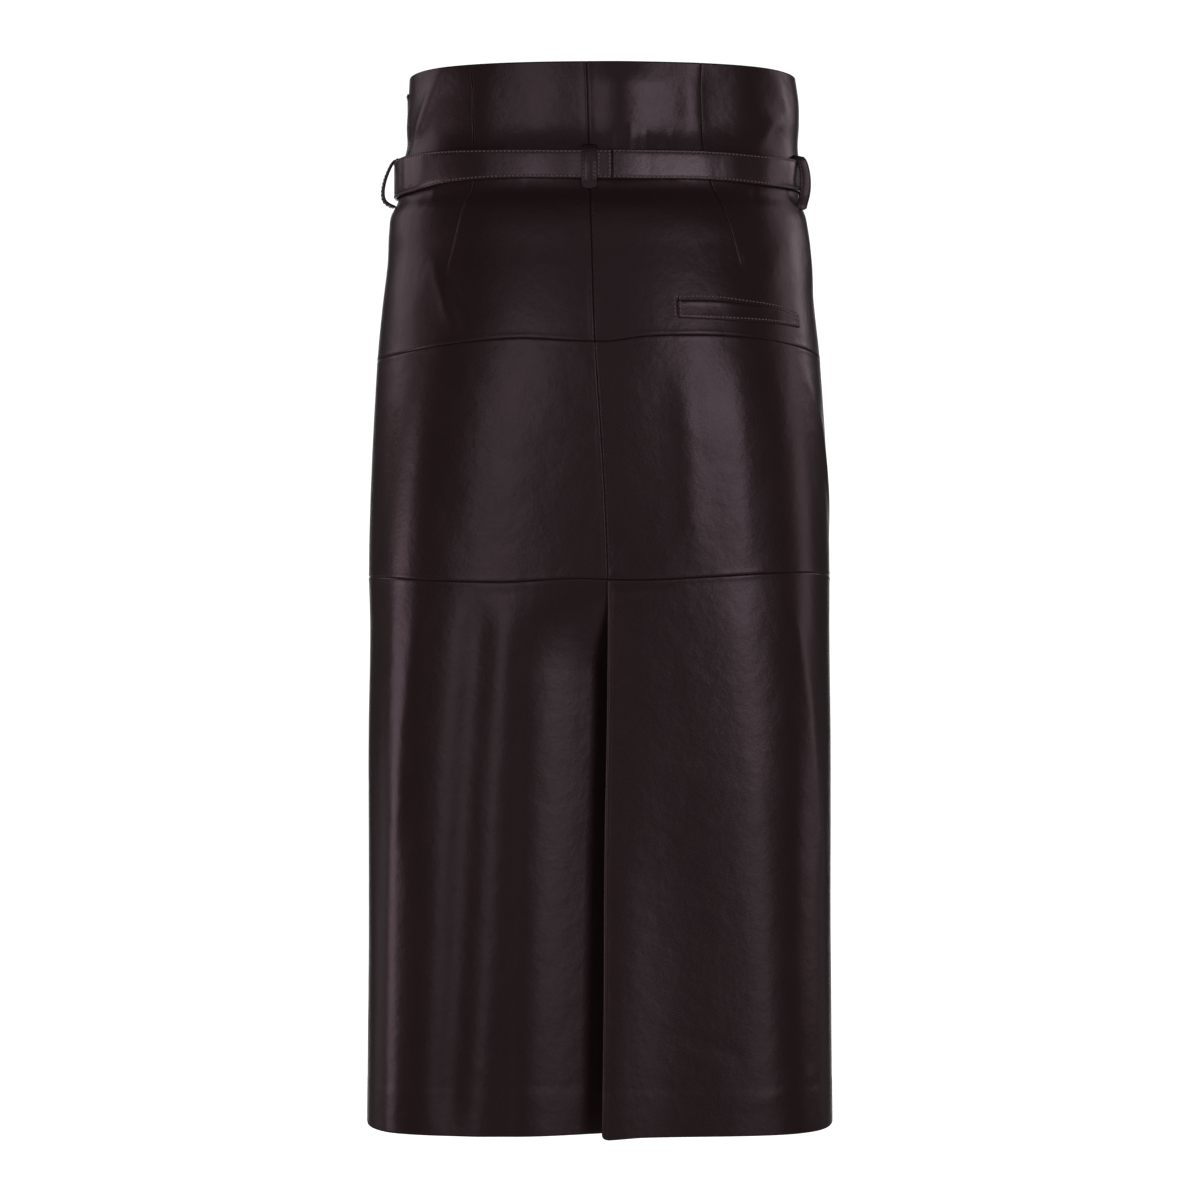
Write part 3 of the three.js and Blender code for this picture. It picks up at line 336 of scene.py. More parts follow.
# %% [markdown]
# The creases. These are the finer marks: pulls beside the darts, puckers at the belt and wrinkles at the
# seams. Each runs from one place to another, and its width is in millimetres. It fades at both ends.
# %% Short creases
CREASE_FADE_FROM, CREASE_FADE_TO = -0.1, 0.35

CREASES = columns("turn height end_turn end_height width depth", [
    (-52.3, -70, -40.4, -132, 4, 0.7),
    (-46.5, -82, -36.3, -128, 3.4, -0.6),
    (-18.6, -25, -7.9, -38, 3, -0.35),
    (42.9, -66, 42.4, -82, 2.6, -0.5),
    (-46.3, -74, -46.8, -90, 2.4, -0.35),
    (-23.1, -8, -22.9, -26, 2, -0.5),
    (23.4, -8, 23.0, -27, 2.2, 0.5),
    (27.5, -8, 28.5, -22, 2, -0.35),
    (-9, -8, -10, -24, 2.2, 0.3),
    (52, -8, 50, -30, 2.6, -0.4),
    (-57, -8, -55, -29, 2.4, 0.4),
    (5.3, 30, 5.6, 6, 1.9, -0.6),
    (9.4, 34, 9.0, 6, 2.4, 0.6),
    (14, 29, 14.4, 6, 1.8, -0.7),
    (18, 24, 17.6, 6, 1.7, 0.4),
    (21.9, 28, 22.6, 6, 2.2, -0.6),
    (-15, 22, -14, 8, 2.2, -0.3),
    (-30, 20, -31, 8, 2, 0.3),
    (-5, -148, -2.4, -152, 1.3, 0.16),
    (-5.4, -154, -2.2, -158, 1.3, 0.18),
    (-5.2, -160, -2, -164, 1.3, 0.16),
    (-5, -166, -1.8, -170, 1.4, 0.16),
    (-4.6, -173, -1.4, -176, 1.4, 0.12),
    (-1.9, -138, -1.5, -158, 1.3, -0.3),
    (1.2, -325, 17, -322, 2.6, 0.4),
    (1.2, -331, 19, -327, 2.6, -0.45),
    (1.4, -315, 6.5, -314, 3, 0.4),
    (-6, -324, -34, -328, 2.6, 0.3),
    (5, -292, 2.6, -306, 3, -0.35),
    (4.4, -305, 2.8, -318, 3.4, 0.35),
    (118, -8, 116, -30, 2.6, 0.4),
    (-131, -8, -134, -28, 2.4, -0.4),
    (155, -8, 156, -24, 2.2, -0.35),
    (-160, 24, -161, 8, 1.8, 0.3),
    (131, 24, 132, 8, 1.8, -0.3),
    (62, -700, 30, -728, 5, 0.3),
    (-30, -690, -12, -722, 5, 0.3),
    (14, -668, 34, -690, 6, -0.3),
    (100, -690, 124, -722, 5, 0.3),
    (-150, -700, -120, -716, 5, -0.3),
])


def crease_depth(turn, height):
    total = np.zeros(np.broadcast(turn, height).shape)
    for start, top, end, bottom, width, depth in zip(*CREASES.values()):
        scale = float(mm_per_degree((start + end) / 2, (top + bottom) / 2))
        run = np.array([(end - start) * scale, bottom - top])
        length = np.linalg.norm(run)
        x = turn_between(start, turn) * scale
        y = height - top
        along = (x * run[0] + y * run[1]) / length**2
        away = (x * run[1] - y * run[0]) / length / width
        ease = smooth(along, CREASE_FADE_FROM, CREASE_FADE_TO)
        ease = ease * smooth(1 - along, CREASE_FADE_FROM, CREASE_FADE_TO)
        total += depth * ease * np.exp(-away * away)
    return total


print("creases:", len(CREASES["turn"]))

# %% [markdown]
# The darts and the hide. A dart's stitches pull the leather into a narrow valley between two soft banks,
# which runs out at the tip. And no hide is flat: low waves of two sizes, from a noise, keep the long bands of
# light from looking ruled.
# %% Dart valleys and hide waves
DART_VALLEY_DEPTH = 1.7
DART_VALLEY_WIDTH = 0.34
DART_BANK_HEIGHT = 0.06
DART_BANK_PLACE, DART_BANK_WIDTH = 2.6, 1.7
DART_RUN_OUT_BELOW, DART_RUN_OUT_ABOVE = 4, 40


def dart_depth(turn, height):
    """A sewn valley with a soft bank on each side, which runs out at the tip."""
    total = np.zeros(np.broadcast(turn, height).shape)
    for line in DART_LINES:
        away = turn_between(line(height), turn) * mm_per_degree(turn, height)
        valley = -DART_VALLEY_DEPTH * np.exp(-((away / DART_VALLEY_WIDTH) ** 2))
        bank = DART_BANK_HEIGHT * np.exp(-(((np.abs(away) - DART_BANK_PLACE) / DART_BANK_WIDTH) ** 2))
        run_out = smooth(height, DART_TIP - DART_RUN_OUT_BELOW, DART_TIP + DART_RUN_OUT_ABOVE)
        total += (valley + bank) * run_out
    return total


WAVE_SIZE = 46
WAVE_STRETCH = 1.8
WAVE_DEPTH = 0.42
RIPPLE_SIZE = 15
RIPPLE_DEPTH = 0.085


def hide_waves(points):
    """The unevenness of a hide: low waves of two sizes."""
    flat = points.reshape(-1, 3)
    waves = [
        WAVE_DEPTH * noise.noise(Vector((x / WAVE_SIZE, y / WAVE_SIZE, z / WAVE_SIZE / WAVE_STRETCH)))
        + RIPPLE_DEPTH * noise.noise(Vector((x / RIPPLE_SIZE, y / RIPPLE_SIZE, z / RIPPLE_SIZE)))
        for x, y, z in flat
    ]
    return np.array(waves).reshape(points.shape[:-1])


print("deepest dart valley, mm:", DART_VALLEY_DEPTH, "wave, mm:", WAVE_DEPTH)

# %% [markdown]
# Helpers for materials. A real surface is never one flat colour or quite smooth, so a material starts from
# one shader, lets its colour drift between two tones, and adds layers of bump from coarse to fine. All of
# it reads the piece's own object coordinates, so it stays in place from every side.
# %% Shader helpers
DRIFT_DETAIL, DRIFT_ROUGHNESS = 3.0, 0.55
DARK_UP_TO, LIGHT_FROM = 0.1, 0.9


def shader(name, colour, roughness, metallic=0.0, specular=0.5):
    material = bpy.data.materials.new(name)
    material.use_nodes = True
    base = material.node_tree.nodes["Principled BSDF"]
    base.inputs["Base Color"].default_value = (*colour, 1)
    base.inputs["Roughness"].default_value = roughness
    base.inputs["Metallic"].default_value = metallic
    base.inputs["Specular IOR Level"].default_value = specular
    return material, material.node_tree, base


def add_node(tree, kind, **settings):
    node = tree.nodes.new(kind)
    for key, value in settings.items():
        if key in node.inputs:
            node.inputs[key].default_value = value
        else:
            setattr(node, key, value)
    return node


def own_place(tree):
    """The piece's own object coordinates."""
    return add_node(tree, "ShaderNodeTexCoord").outputs["Object"]


def mottle(tree, base, place, light, dark, scale):
    """Lets the colour drift between two tones over the piece."""
    drift = add_node(tree, "ShaderNodeTexNoise", Scale=scale, Detail=DRIFT_DETAIL, Roughness=DRIFT_ROUGHNESS)
    ramp = add_node(tree, "ShaderNodeValToRGB")
    ramp.color_ramp.elements[0].position = DARK_UP_TO
    ramp.color_ramp.elements[0].color = (*dark, 1)
    ramp.color_ramp.elements[1].position = LIGHT_FROM
    ramp.color_ramp.elements[1].color = (*light, 1)
    tree.links.new(place, drift.inputs["Vector"])
    tree.links.new(drift.outputs["Fac"], ramp.inputs["Fac"])
    tree.links.new(ramp.outputs["Color"], base.inputs["Base Color"])


def bumps(tree, base, place, layers):
    """Layers of bump, each (kind, size in mm, depth in mm), from coarse to fine."""
    normal = None
    for kind, size, depth in layers:
        texture = add_node(tree, kind, Scale=1 / (size * MM))
        tree.links.new(place, texture.inputs["Vector"])
        bump = add_node(tree, "ShaderNodeBump", Distance=depth * MM, Strength=1.0)
        out = "Distance" if kind == "ShaderNodeTexVoronoi" else "Fac"
        tree.links.new(texture.outputs[out], bump.inputs["Height"])
        if normal:
            tree.links.new(normal, bump.inputs["Normal"])
        normal = bump.outputs["Normal"]
    tree.links.new(normal, base.inputs["Normal"])


print("materials before the first:", len(bpy.data.materials))

# %% [markdown]
# The leather. Smooth nappa has a tight grain that only softens its shine, a colour that varies a little
# over the hide, and a tinted gloss from its dye. The grain is bump, because it is far smaller than a
# millimetre. The straps are polished more than the panels.
# %% Leather
NAPPA = (0.0425, 0.0228, 0.0232)
NAPPA_DARK = (0.0325, 0.0174, 0.0178)
NAPPA_ROUGHNESS = 0.29
STRAP = (0.0440, 0.0240, 0.0246)
STRAP_DARK = (0.0310, 0.0170, 0.0176)
LEATHER_TINT = (1.0, 0.78, 0.92)
STRAP_SPECULAR = 0.8
MOTTLE_SCALE = 22.0
SHINE_SCALE, SHINE_DETAIL = 34.0, 4.0
SHINE_BELOW, SHINE_ABOVE = 0.01, 0.06
GRAIN = [
    ("ShaderNodeTexNoise", 18.0, 0.35),
    ("ShaderNodeTexNoise", 6.0, 0.13),
    ("ShaderNodeTexNoise", 2.4, 0.07),
]


def make_leather(name, light, dark, roughness, specular=0.5):
    material, tree, base = shader(name, light, roughness, specular=specular)
    base.inputs["Specular Tint"].default_value = (*LEATHER_TINT, 1)
    place = own_place(tree)
    mottle(tree, base, place, light, dark, MOTTLE_SCALE)
    shine = add_node(tree, "ShaderNodeTexNoise", Scale=SHINE_SCALE, Detail=SHINE_DETAIL)
    spread = add_node(tree, "ShaderNodeMapRange")
    spread.inputs["To Min"].default_value = roughness - SHINE_BELOW
    spread.inputs["To Max"].default_value = roughness + SHINE_ABOVE
    tree.links.new(place, shine.inputs["Vector"])
    tree.links.new(shine.outputs["Fac"], spread.inputs["Value"])
    tree.links.new(spread.outputs["Result"], base.inputs["Roughness"])
    bumps(tree, base, place, GRAIN)
    return material


nappa = make_leather("nappa", NAPPA, NAPPA_DARK, NAPPA_ROUGHNESS)
strap_nappa = make_leather("strap_nappa", STRAP, STRAP_DARK, NAPPA_ROUGHNESS, STRAP_SPECULAR)
print("leathers:", nappa.name, strap_nappa.name)

# %% [markdown]
# The other materials. The inside of the leather is its matt, fibrous flesh side. The thread that shows is
# paler than the leather, and beside centre back it is as dark. The zip's tapes are woven, and the metal has
# a dark plating.
# %% Flesh side, thread, tape and metal
FLESH, FLESH_LIGHT, FLESH_DARK = (0.030, 0.021, 0.021), (0.036, 0.026, 0.026), (0.024, 0.017, 0.017)
FLESH_ROUGHNESS, FLESH_SPECULAR, FLESH_MOTTLE_SCALE = 0.9, 0.2, 60.0
THREAD, DARK_THREAD, THREAD_ROUGHNESS = (0.27, 0.18, 0.185), (0.045, 0.027, 0.028), 0.5
TAPE, TAPE_ROUGHNESS, TAPE_SPECULAR = (0.012, 0.009, 0.010), 0.85, 0.25
GUNMETAL, METAL_ROUGHNESS = (0.10, 0.09, 0.09), 0.3
FIBRES = [("ShaderNodeTexNoise", 0.7, 0.12)]
WEAVE = [("ShaderNodeTexVoronoi", 0.6, 0.1)]
PLATING = [("ShaderNodeTexNoise", 1.2, 0.01)]

flesh_side, flesh_tree, flesh_base = shader("flesh_side", FLESH, FLESH_ROUGHNESS, specular=FLESH_SPECULAR)
flesh_place = own_place(flesh_tree)
mottle(flesh_tree, flesh_base, flesh_place, FLESH_LIGHT, FLESH_DARK, FLESH_MOTTLE_SCALE)
bumps(flesh_tree, flesh_base, flesh_place, FIBRES)

thread = shader("thread", THREAD, THREAD_ROUGHNESS)[0]
dark_thread = shader("dark_thread", DARK_THREAD, THREAD_ROUGHNESS)[0]
tape_cloth, tape_tree, tape_base = shader("tape_cloth", TAPE, TAPE_ROUGHNESS, specular=TAPE_SPECULAR)
bumps(tape_tree, tape_base, own_place(tape_tree), WEAVE)
gunmetal, metal_tree, metal_base = shader("gunmetal", GUNMETAL, METAL_ROUGHNESS, metallic=1.0)
bumps(metal_tree, metal_base, own_place(metal_tree), PLATING)
print("materials:", [m.name for m in bpy.data.materials])

# %% [markdown]
# Making a mesh. Cloth and straps are worked out as points, so one helper turns points in millimetres into
# a mesh piece in metres, with its materials and, for a panel, the flat layout of its cut as a UV map.
# %% A mesh from points
def add_mesh(name, points, faces, materials, inside=(), uv=None):
    """A mesh piece in metres from points in millimetres. inside lists the faces of the second material."""
    mesh = bpy.data.meshes.new(name)
    mesh.from_pydata((np.asarray(points) * MM).tolist(), [], [list(map(int, f)) for f in faces])
    for material in materials:
        mesh.materials.append(material)
    mesh.polygons.foreach_set("use_smooth", [True] * len(mesh.polygons))
    if len(materials) > 1:
        index = np.zeros(len(mesh.polygons), int)
        index[list(inside)] = 1
        mesh.polygons.foreach_set("material_index", index)
    if uv is not None:
        corner = np.zeros(len(mesh.loops), int)
        mesh.loops.foreach_get("vertex_index", corner)
        layer = mesh.uv_layers.new(name="cut")
        layer.data.foreach_set("uv", (np.asarray(uv)[corner]).ravel())
    mesh.update()
    piece = bpy.data.objects.new(name, mesh)
    bpy.context.scene.collection.objects.link(piece)
    return piece


print("scale of the scene, metres to a millimetre:", MM)

# %% [markdown]
# The rim of a sheet. A panel has two grids of points, its grain side and its flesh side, and its rim joins
# them all round. So the rim first needs the order of the points along the edge of a grid.
# %% Once round a grid
def rim_order(columns_count, rows_count):
    """Once round the edge of a grid, anticlockwise as seen from outside."""
    low = [(i, 0) for i in range(columns_count - 1)]
    right = [(columns_count - 1, j) for j in range(rows_count - 1)]
    high = [(i, rows_count - 1) for i in range(columns_count - 1, 0, -1)]
    left = [(0, j) for j in range(rows_count - 1, 0, -1)]
    return np.array(low + right + high + left)


print("rim of a 4 by 3 grid has", len(rim_order(4, 3)), "points")

# %% [markdown]
# A shell. The two grids are joined by a rim that is rounded, which gives the cut edge the small highlight
# that real leather has. A solidify modifier would also thicken a sheet, but it leaves the rim square.
# %% Making a shell from two grids
RIM_ROUNDNESS = 0.35


def shell(name, outer, inner, materials, uv=None):
    """A closed thin shell between two grids of points, columns first."""
    count, rows = outer.shape[:2]
    number = np.arange(count * rows).reshape(count, rows)
    a, b = number[:-1, :-1].ravel(), number[1:, :-1].ravel()
    c, d = number[1:, 1:].ravel(), number[:-1, 1:].ravel()
    grain = np.stack([a, b, c, d], axis=1)
    flesh = np.stack([a, d, c, b], axis=1) + count * rows
    edge = rim_order(count, rows)
    i, j = edge[:, 0], edge[:, 1]
    ni, nj = np.clip(i, 1, count - 2), np.clip(j, 1, rows - 2)
    thick = np.linalg.norm(outer[i, j] - inner[i, j], axis=1, keepdims=True)
    push = unit(outer[i, j] - outer[ni, nj]) * thick * RIM_ROUNDNESS
    middle = (outer[i, j] + inner[i, j]) / 2 + push
    out_loop = number[i, j]
    in_loop = out_loop + count * rows
    mid_loop = 2 * count * rows + np.arange(len(edge))
    turned = [np.roll(loop, -1) for loop in (out_loop, mid_loop, in_loop)]
    rim_out = np.stack([out_loop, mid_loop, turned[1], turned[0]], axis=1)
    rim_in = np.stack([mid_loop, in_loop, turned[2], turned[1]], axis=1)
    faces = np.concatenate([grain, rim_out, rim_in, flesh])
    inside = range(len(faces) - len(flesh), len(faces))
    points = np.concatenate([outer.reshape(-1, 3), inner.reshape(-1, 3), middle])
    if uv is not None:
        sheet_uv = uv.reshape(-1, 2)
        uv = np.concatenate([sheet_uv, sheet_uv, sheet_uv[out_loop]])
    return add_mesh(name, points, faces, materials, inside, uv)


def dress(piece, node):
    """Lets a piece stand for its CAD node."""
    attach(piece, "garment")
    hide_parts(node)
    return piece


print("rim roundness, of the leather's thickness:", RIM_ROUNDNESS)

# %% [markdown]
# The edges of a panel. On a sewn seam the leather rolls in on both sides and meets in a narrow groove, and
# the allowances pressed behind it lift a low ridge beside the groove. So each edge has a roll and a ridge.
# The grid is fine beside an edge, where the light changes fast, and even elsewhere.
# %% Seams, cut edges and folded edges
WALL = 1.4
NEAR_EDGE = (0, 0.25, 0.55, 0.9, 1.3, 1.9, 2.7, 3.8, 5.2)
SEAM_GAP = 0.06
BACK_STEP = 2.6
FRONT_STEP = 3.6

SEAM = {"roll": 0.6, "width": 1.0, "ridge": 0.12}
RAISED_SEAM = {"roll": 0.65, "width": 1.0, "ridge": 0.22}
CUT_EDGE = {"roll": 0.3, "width": 0.7, "ridge": 0.0}
FOLDED_EDGE = {"roll": 0.9, "width": 1.3, "ridge": 0.3}
FREE = {"roll": 0.0, "width": 1.0, "ridge": 0.0}


def graded(length, step):
    """Shares from 0 to 1 along a length, fine beside both ends and even between."""
    near = [d for d in NEAR_EDGE if d < length / 2 - step / 2]
    start = near[-1]
    count = max(1, math.ceil((length - 2 * start) / step))
    middle = np.linspace(start, length - start, count + 1)
    return np.concatenate([near[:-1], middle, length - np.array(near[:-1])[::-1]]) / length


RIDGE_PLACE, RIDGE_WIDTH = 1.1, 1.5


def edge_relief(distance, edge):
    inside = np.clip(distance / edge["width"], 0, 1)
    roll = -edge["roll"] * (1 - inside) ** 2
    ridge = edge["ridge"] * np.exp(-(((distance - edge["width"] - RIDGE_PLACE) / RIDGE_WIDTH) ** 2))
    return roll + ridge


PUCKER_DEPTH = 0.16
PUCKER_REACH = 6
PUCKER_LENGTH = 9


def seam_pucker(distance, along, seed):
    """Small ripples that a row of sewing draws in, fading away from the seam."""
    flat = np.broadcast_to(along, distance.shape).ravel()
    ripple = [noise.noise(Vector((a / PUCKER_LENGTH, seed, 0.0))) for a in flat]
    return PUCKER_DEPTH * np.array(ripple).reshape(distance.shape) * np.exp(-distance / PUCKER_REACH)


print("points across a 100 mm panel:", len(graded(100, BACK_STEP)))

# %% [markdown]
# Guide lines. A panel is laid out between lines that run up and down, such as a side, a dart or centre
# back, and between a lower and an upper edge. A guide can be moved sideways, which leaves the gap at a seam.
# %% Guide lines
def beside(line, distance):
    """A line moved sideways by a distance in millimetres."""
    def moved(height):
        turn = line(height)
        away = distance(height) if callable(distance) else distance
        return turn + away / mm_per_degree(turn, height)
    return moved


def always(value):
    """A guide or an edge that keeps one value."""
    def line(place):
        return np.full(np.shape(place), value, float)
    return line


def nothing(turn, height):
    return 0.0


side_left, side_right, side_left_from_front = always(-SIDE), always(SIDE), always(360 - SIDE)
print("half a seam gap in degrees:", round(float(beside(side_left, SEAM_GAP / 2)(0.0)) + SIDE, 4))

# %% [markdown]
# A panel's grid. Its columns follow the guides and its rows go from edge to edge, so that no seam cuts
# across a face. The turn of a point depends on its height, and its height on its turn, so both are worked
# out a few times until they settle.
# %% The grid of a panel
SETTLING_ROUNDS = 5


def panel_grid(guides, lower, upper, step):
    """Turns and heights of a panel's grid, between guide lines and between two edges."""
    middle = (float(lower(guides[0](0.0))) + float(upper(guides[0](0.0)))) / 2
    shares = []
    for g, (line, following) in enumerate(zip(guides, guides[1:])):
        width = float((following(middle) - line(middle)) * mm_per_degree(line(middle), middle))
        part = graded(width, step) + g
        shares.extend(part if g == 0 else part[1:])
    shares = np.array(shares)
    which = np.minimum(shares.astype(int), len(guides) - 2)
    within = (shares - which)[:, None]
    length = float(upper(guides[0](middle)) - lower(guides[0](middle)))
    rise = graded(length, step)[None, :]
    height = np.full((len(shares), rise.shape[1]), middle)
    pick = which[None, :, None] + np.zeros(height.shape, int)[None]
    for _ in range(SETTLING_ROUNDS):
        lines = np.stack([guide(height) for guide in guides])
        near = np.take_along_axis(lines, pick, 0)[0]
        far = np.take_along_axis(lines, pick + 1, 0)[0]
        turn = near + (far - near) * within
        low = lower(turn)
        height = low + (upper(turn) - low) * rise
    return turn, height


print("rounds until a grid settles:", SETTLING_ROUNDS)

# %% [markdown]
# The panel. Every point of its grid is moved out from the form by all that bends the leather there: folds,
# creases, darts, hide waves and the relief of the four edges. The second grid, one wall thickness inside,
# makes it a shell. The lengths across and down it tell what size of leather it is cut from.
# %% A panel of leather
def panel(name, guides, lower, upper, edges, step, seed, extra=nothing, lift=0.0, thick=WALL):
    turn, height = panel_grid(guides, lower, upper, step)
    scale = mm_per_degree(turn, height)
    to_left = (turn - guides[0](height)) * scale
    to_right = (guides[-1](height) - turn) * scale
    to_low = height - lower(turn)
    to_high = upper(turn) - height
    out = lift + fold_depth(turn, height) + crease_depth(turn, height) + dart_depth(turn, height)
    out = out + extra(turn, height)
    along = turn * scale
    for k, distance in enumerate((to_left, to_right, to_low, to_high)):
        out = out + edge_relief(distance, edges[k])
        if edges[k]["ridge"]:
            out = out + seam_pucker(distance, height if k < 2 else along, seed + k)
    base = form_point(turn, height)
    normal = form_normal(turn, height)
    out = out + hide_waves(base)
    outer = base + normal * out[..., None]
    inner = outer - normal * thick
    uv = np.stack([along * MM, height * MM], axis=-1)
    piece = shell(name, outer, inner, [nappa, flesh_side], uv)
    across = np.linalg.norm(np.diff(outer, axis=0), axis=-1).sum(axis=0)
    down = np.linalg.norm(np.diff(outer, axis=1), axis=-1).sum(axis=1)
    print(name, "is", round(across.max()), "by", round(down.max()), "mm, faces:", len(piece.data.polygons))
    return piece


def place_on(turn, height, lift=0.0):
    """A point on the finished outer face, without its edges, for what lies on it."""
    out = fold_depth(turn, height) + crease_depth(turn, height) + dart_depth(turn, height) + lift
    base = form_point(turn, height)
    return base + form_normal(turn, height) * (out + hide_waves(base))[..., None]


print("a point at centre back, mm:", place_on(np.array(0.0), np.array(-50.0)).round(1))

# %% [markdown]
# The yoke is the top tier. At the top its edge is cut and turned, at the left side seam the zip parts it a
# little round its slider, and its darts are guide lines of the grid so that each valley is sharp.
# %% The yoke panels
HALF_GAP = SEAM_GAP / 2
PARTED_HALF_GAP, PARTED_FROM, PARTED_FULL = 1.3, 52, 62


def zip_half_gap(height):
    return HALF_GAP + (PARTED_HALF_GAP - HALF_GAP) * smooth(height, PARTED_FROM, PARTED_FULL)


def minus_zip_half_gap(height):
    return -zip_half_gap(height)


def above(seam):
    def edge(turn):
        return seam(turn) + HALF_GAP
    return edge


def below(seam):
    def edge(turn):
        return seam(turn) - HALF_GAP
    return edge


yoke_panels = {
    "back_yoke_left": panel(
        "back_yoke_left_leather",
        [beside(side_left, zip_half_gap), dart_left, beside(centre_back, -HALF_GAP)],
        above(upper_seam), always(TOP), (SEAM, RAISED_SEAM, RAISED_SEAM, CUT_EDGE), BACK_STEP, 1,
    ),
    "back_yoke_right": panel(
        "back_yoke_right_leather",
        [beside(centre_back, HALF_GAP), dart_right, beside(side_right, -HALF_GAP)],
        above(upper_seam), always(TOP), (RAISED_SEAM, SEAM, RAISED_SEAM, CUT_EDGE), BACK_STEP, 11,
    ),
    "front_yoke": panel(
        "front_yoke_leather",
        [
            beside(side_right, HALF_GAP), dart_front_right, dart_front_left,
            beside(side_left_from_front, minus_zip_half_gap),
        ],
        above(upper_seam), always(TOP), (SEAM, SEAM, RAISED_SEAM, CUT_EDGE), FRONT_STEP, 21,
    ),
}
for node, piece in yoke_panels.items():
    dress(piece, node)

middle_panels = {
    "back_middle_left": panel(
        "back_middle_left_leather",
        [beside(side_left, HALF_GAP), beside(centre_back, -HALF_GAP)],
        above(lower_seam), below(upper_seam), (SEAM, SEAM, SEAM, SEAM), BACK_STEP, 31,
    ),
    "back_middle_right": panel(
        "back_middle_right_leather",
        [beside(centre_back, HALF_GAP), beside(side_right, -HALF_GAP)],
        above(lower_seam), below(upper_seam), (SEAM, SEAM, SEAM, SEAM), BACK_STEP, 41,
    ),
    "front_middle": panel(
        "front_middle_leather",
        [beside(side_right, HALF_GAP), beside(side_left_from_front, -HALF_GAP)],
        above(lower_seam), below(upper_seam), (SEAM, SEAM, SEAM, SEAM), FRONT_STEP, 51,
    ),
}
for node, piece in middle_panels.items():
    dress(piece, node)

# %% [markdown]
# The vent and the hem. Below the second seam the right back panel has a folded edge that laps over the left
# one, which sinks under it. The lapping corner kicks out and hangs a little lower. All round, the hem is
# turned up inside, and the edge of the turn-up shows through as a faint step.
# %% The form of the vent and the hem
VENT_UNDERLAP, VENT_APPROACH = 17, 18.5
VENT_SINK_AT_SEAM, VENT_SINK, VENT_SINK_HEIGHT = 2.2, 21, 74
VENT_SINK_SOFT = 0.34
VENT_KICK, VENT_KICK_WIDTH, VENT_KICK_HEIGHT = 8, 10, 400
VENT_DROP, VENT_DROP_WIDTH = 1.5, 9
HEM_ALLOWANCE = 34
HEM_STEP, HEM_STEP_HALF_WIDTH = 0.22, 1.2


def hem_step(turn, height):
    return HEM_STEP * smooth(HEM + HEM_ALLOWANCE - height, -HEM_STEP_HALF_WIDTH, HEM_STEP_HALF_WIDTH)


def vent_sink(turn, height):
    low = smooth(LOWER_SEAM - height, 0, VENT_SINK_HEIGHT)
    depth = VENT_SINK_AT_SEAM + (VENT_SINK - VENT_SINK_AT_SEAM) * low
    near = np.clip((turn - centre_back(height)) / VENT_APPROACH + 1, 0, 1)
    rise = np.hypot(near, VENT_SINK_SOFT) - VENT_SINK_SOFT
    whole_rise = math.hypot(1, VENT_SINK_SOFT) - VENT_SINK_SOFT
    return hem_step(turn, height) - depth * (rise / whole_rise)


def vent_kick(turn, height):
    away = np.maximum(0, turn - centre_back(height)) / VENT_KICK_WIDTH
    low = 1 - smooth(height - HEM, 0, VENT_KICK_HEIGHT)
    return hem_step(turn, height) + VENT_KICK * low * np.exp(-away * away)


CORNER_ROUND, CORNER_RISE = 6, 0.6


def vent_hem(turn):
    edge = centre_back(HEM)
    hang = HEM - VENT_DROP * (1 - smooth(turn, edge, edge + VENT_DROP_WIDTH))
    inward = np.clip(1 - (turn - edge) * mm_per_degree(edge, HEM) / CORNER_ROUND, 0, 1)
    return hang + CORNER_ROUND * (1 - np.sqrt(1 - inward**2)) * CORNER_RISE


def underlap_edge(height):
    return centre_back(height) + VENT_UNDERLAP


middle_of_tier = (HEM + LOWER_SEAM) / 2
print("the underlap sinks, mm:", round(float(-vent_sink(centre_back(middle_of_tier), middle_of_tier)), 1))

lower_panels = {
    "back_lower_left": panel(
        "back_lower_left_leather",
        [beside(side_left, HALF_GAP), centre_back, underlap_edge],
        always(HEM), below(lower_seam), (SEAM, FREE, CUT_EDGE, RAISED_SEAM), BACK_STEP, 61, vent_sink,
    ),
    "back_lower_right": panel(
        "back_lower_right_leather",
        [centre_back, beside(side_right, -HALF_GAP)],
        vent_hem, below(lower_seam), (FOLDED_EDGE, SEAM, CUT_EDGE, RAISED_SEAM), BACK_STEP, 71, vent_kick,
    ),
    "front_lower": panel(
        "front_lower_leather",
        [beside(side_right, HALF_GAP), beside(side_left_from_front, -HALF_GAP)],
        always(HEM), below(lower_seam), (SEAM, SEAM, CUT_EDGE, RAISED_SEAM), FRONT_STEP, 81, hem_step,
    ),
}
for node, piece in lower_panels.items():
    dress(piece, node)

# %% [markdown]
# The pocket. A welt is a narrow folded strip, sewn down all round under a slit. Its upper edge is rolled and
# stands a little proud, and the slit above it is a dark line. It lies on the yoke, so it is made from the
# yoke's own points, moved out.
# %% The pocket's welt
WELT_THICK = 1.0
WELT_LIFT = 0.3
WELT_STEP = 2.0
WELT_EDGES = columns("turn top bottom", [
    (21.6, -105.6, -119.6),
    (32, -105.2, -120.3),
    (44, -107.6, -121),
    (54, -109.8, -121.6),
    (64.6, -114.6, -123.3),
])
WELT_LIP = {"roll": 0.95, "width": 1.4, "ridge": 0.25}
welt_top = curve_through(WELT_EDGES, "turn", "top")
welt_bottom = curve_through(WELT_EDGES, "turn", "bottom")

welt = panel(
    "pocket_welt_leather",
    [always(WELT_EDGES["turn"][0]), always(WELT_EDGES["turn"][-1])],
    welt_bottom, welt_top, (SEAM, SEAM, SEAM, WELT_LIP), WELT_STEP, 91,
    lift=WELT_THICK + WELT_LIFT, thick=WELT_THICK,
)
dress(welt, "pocket_welt")

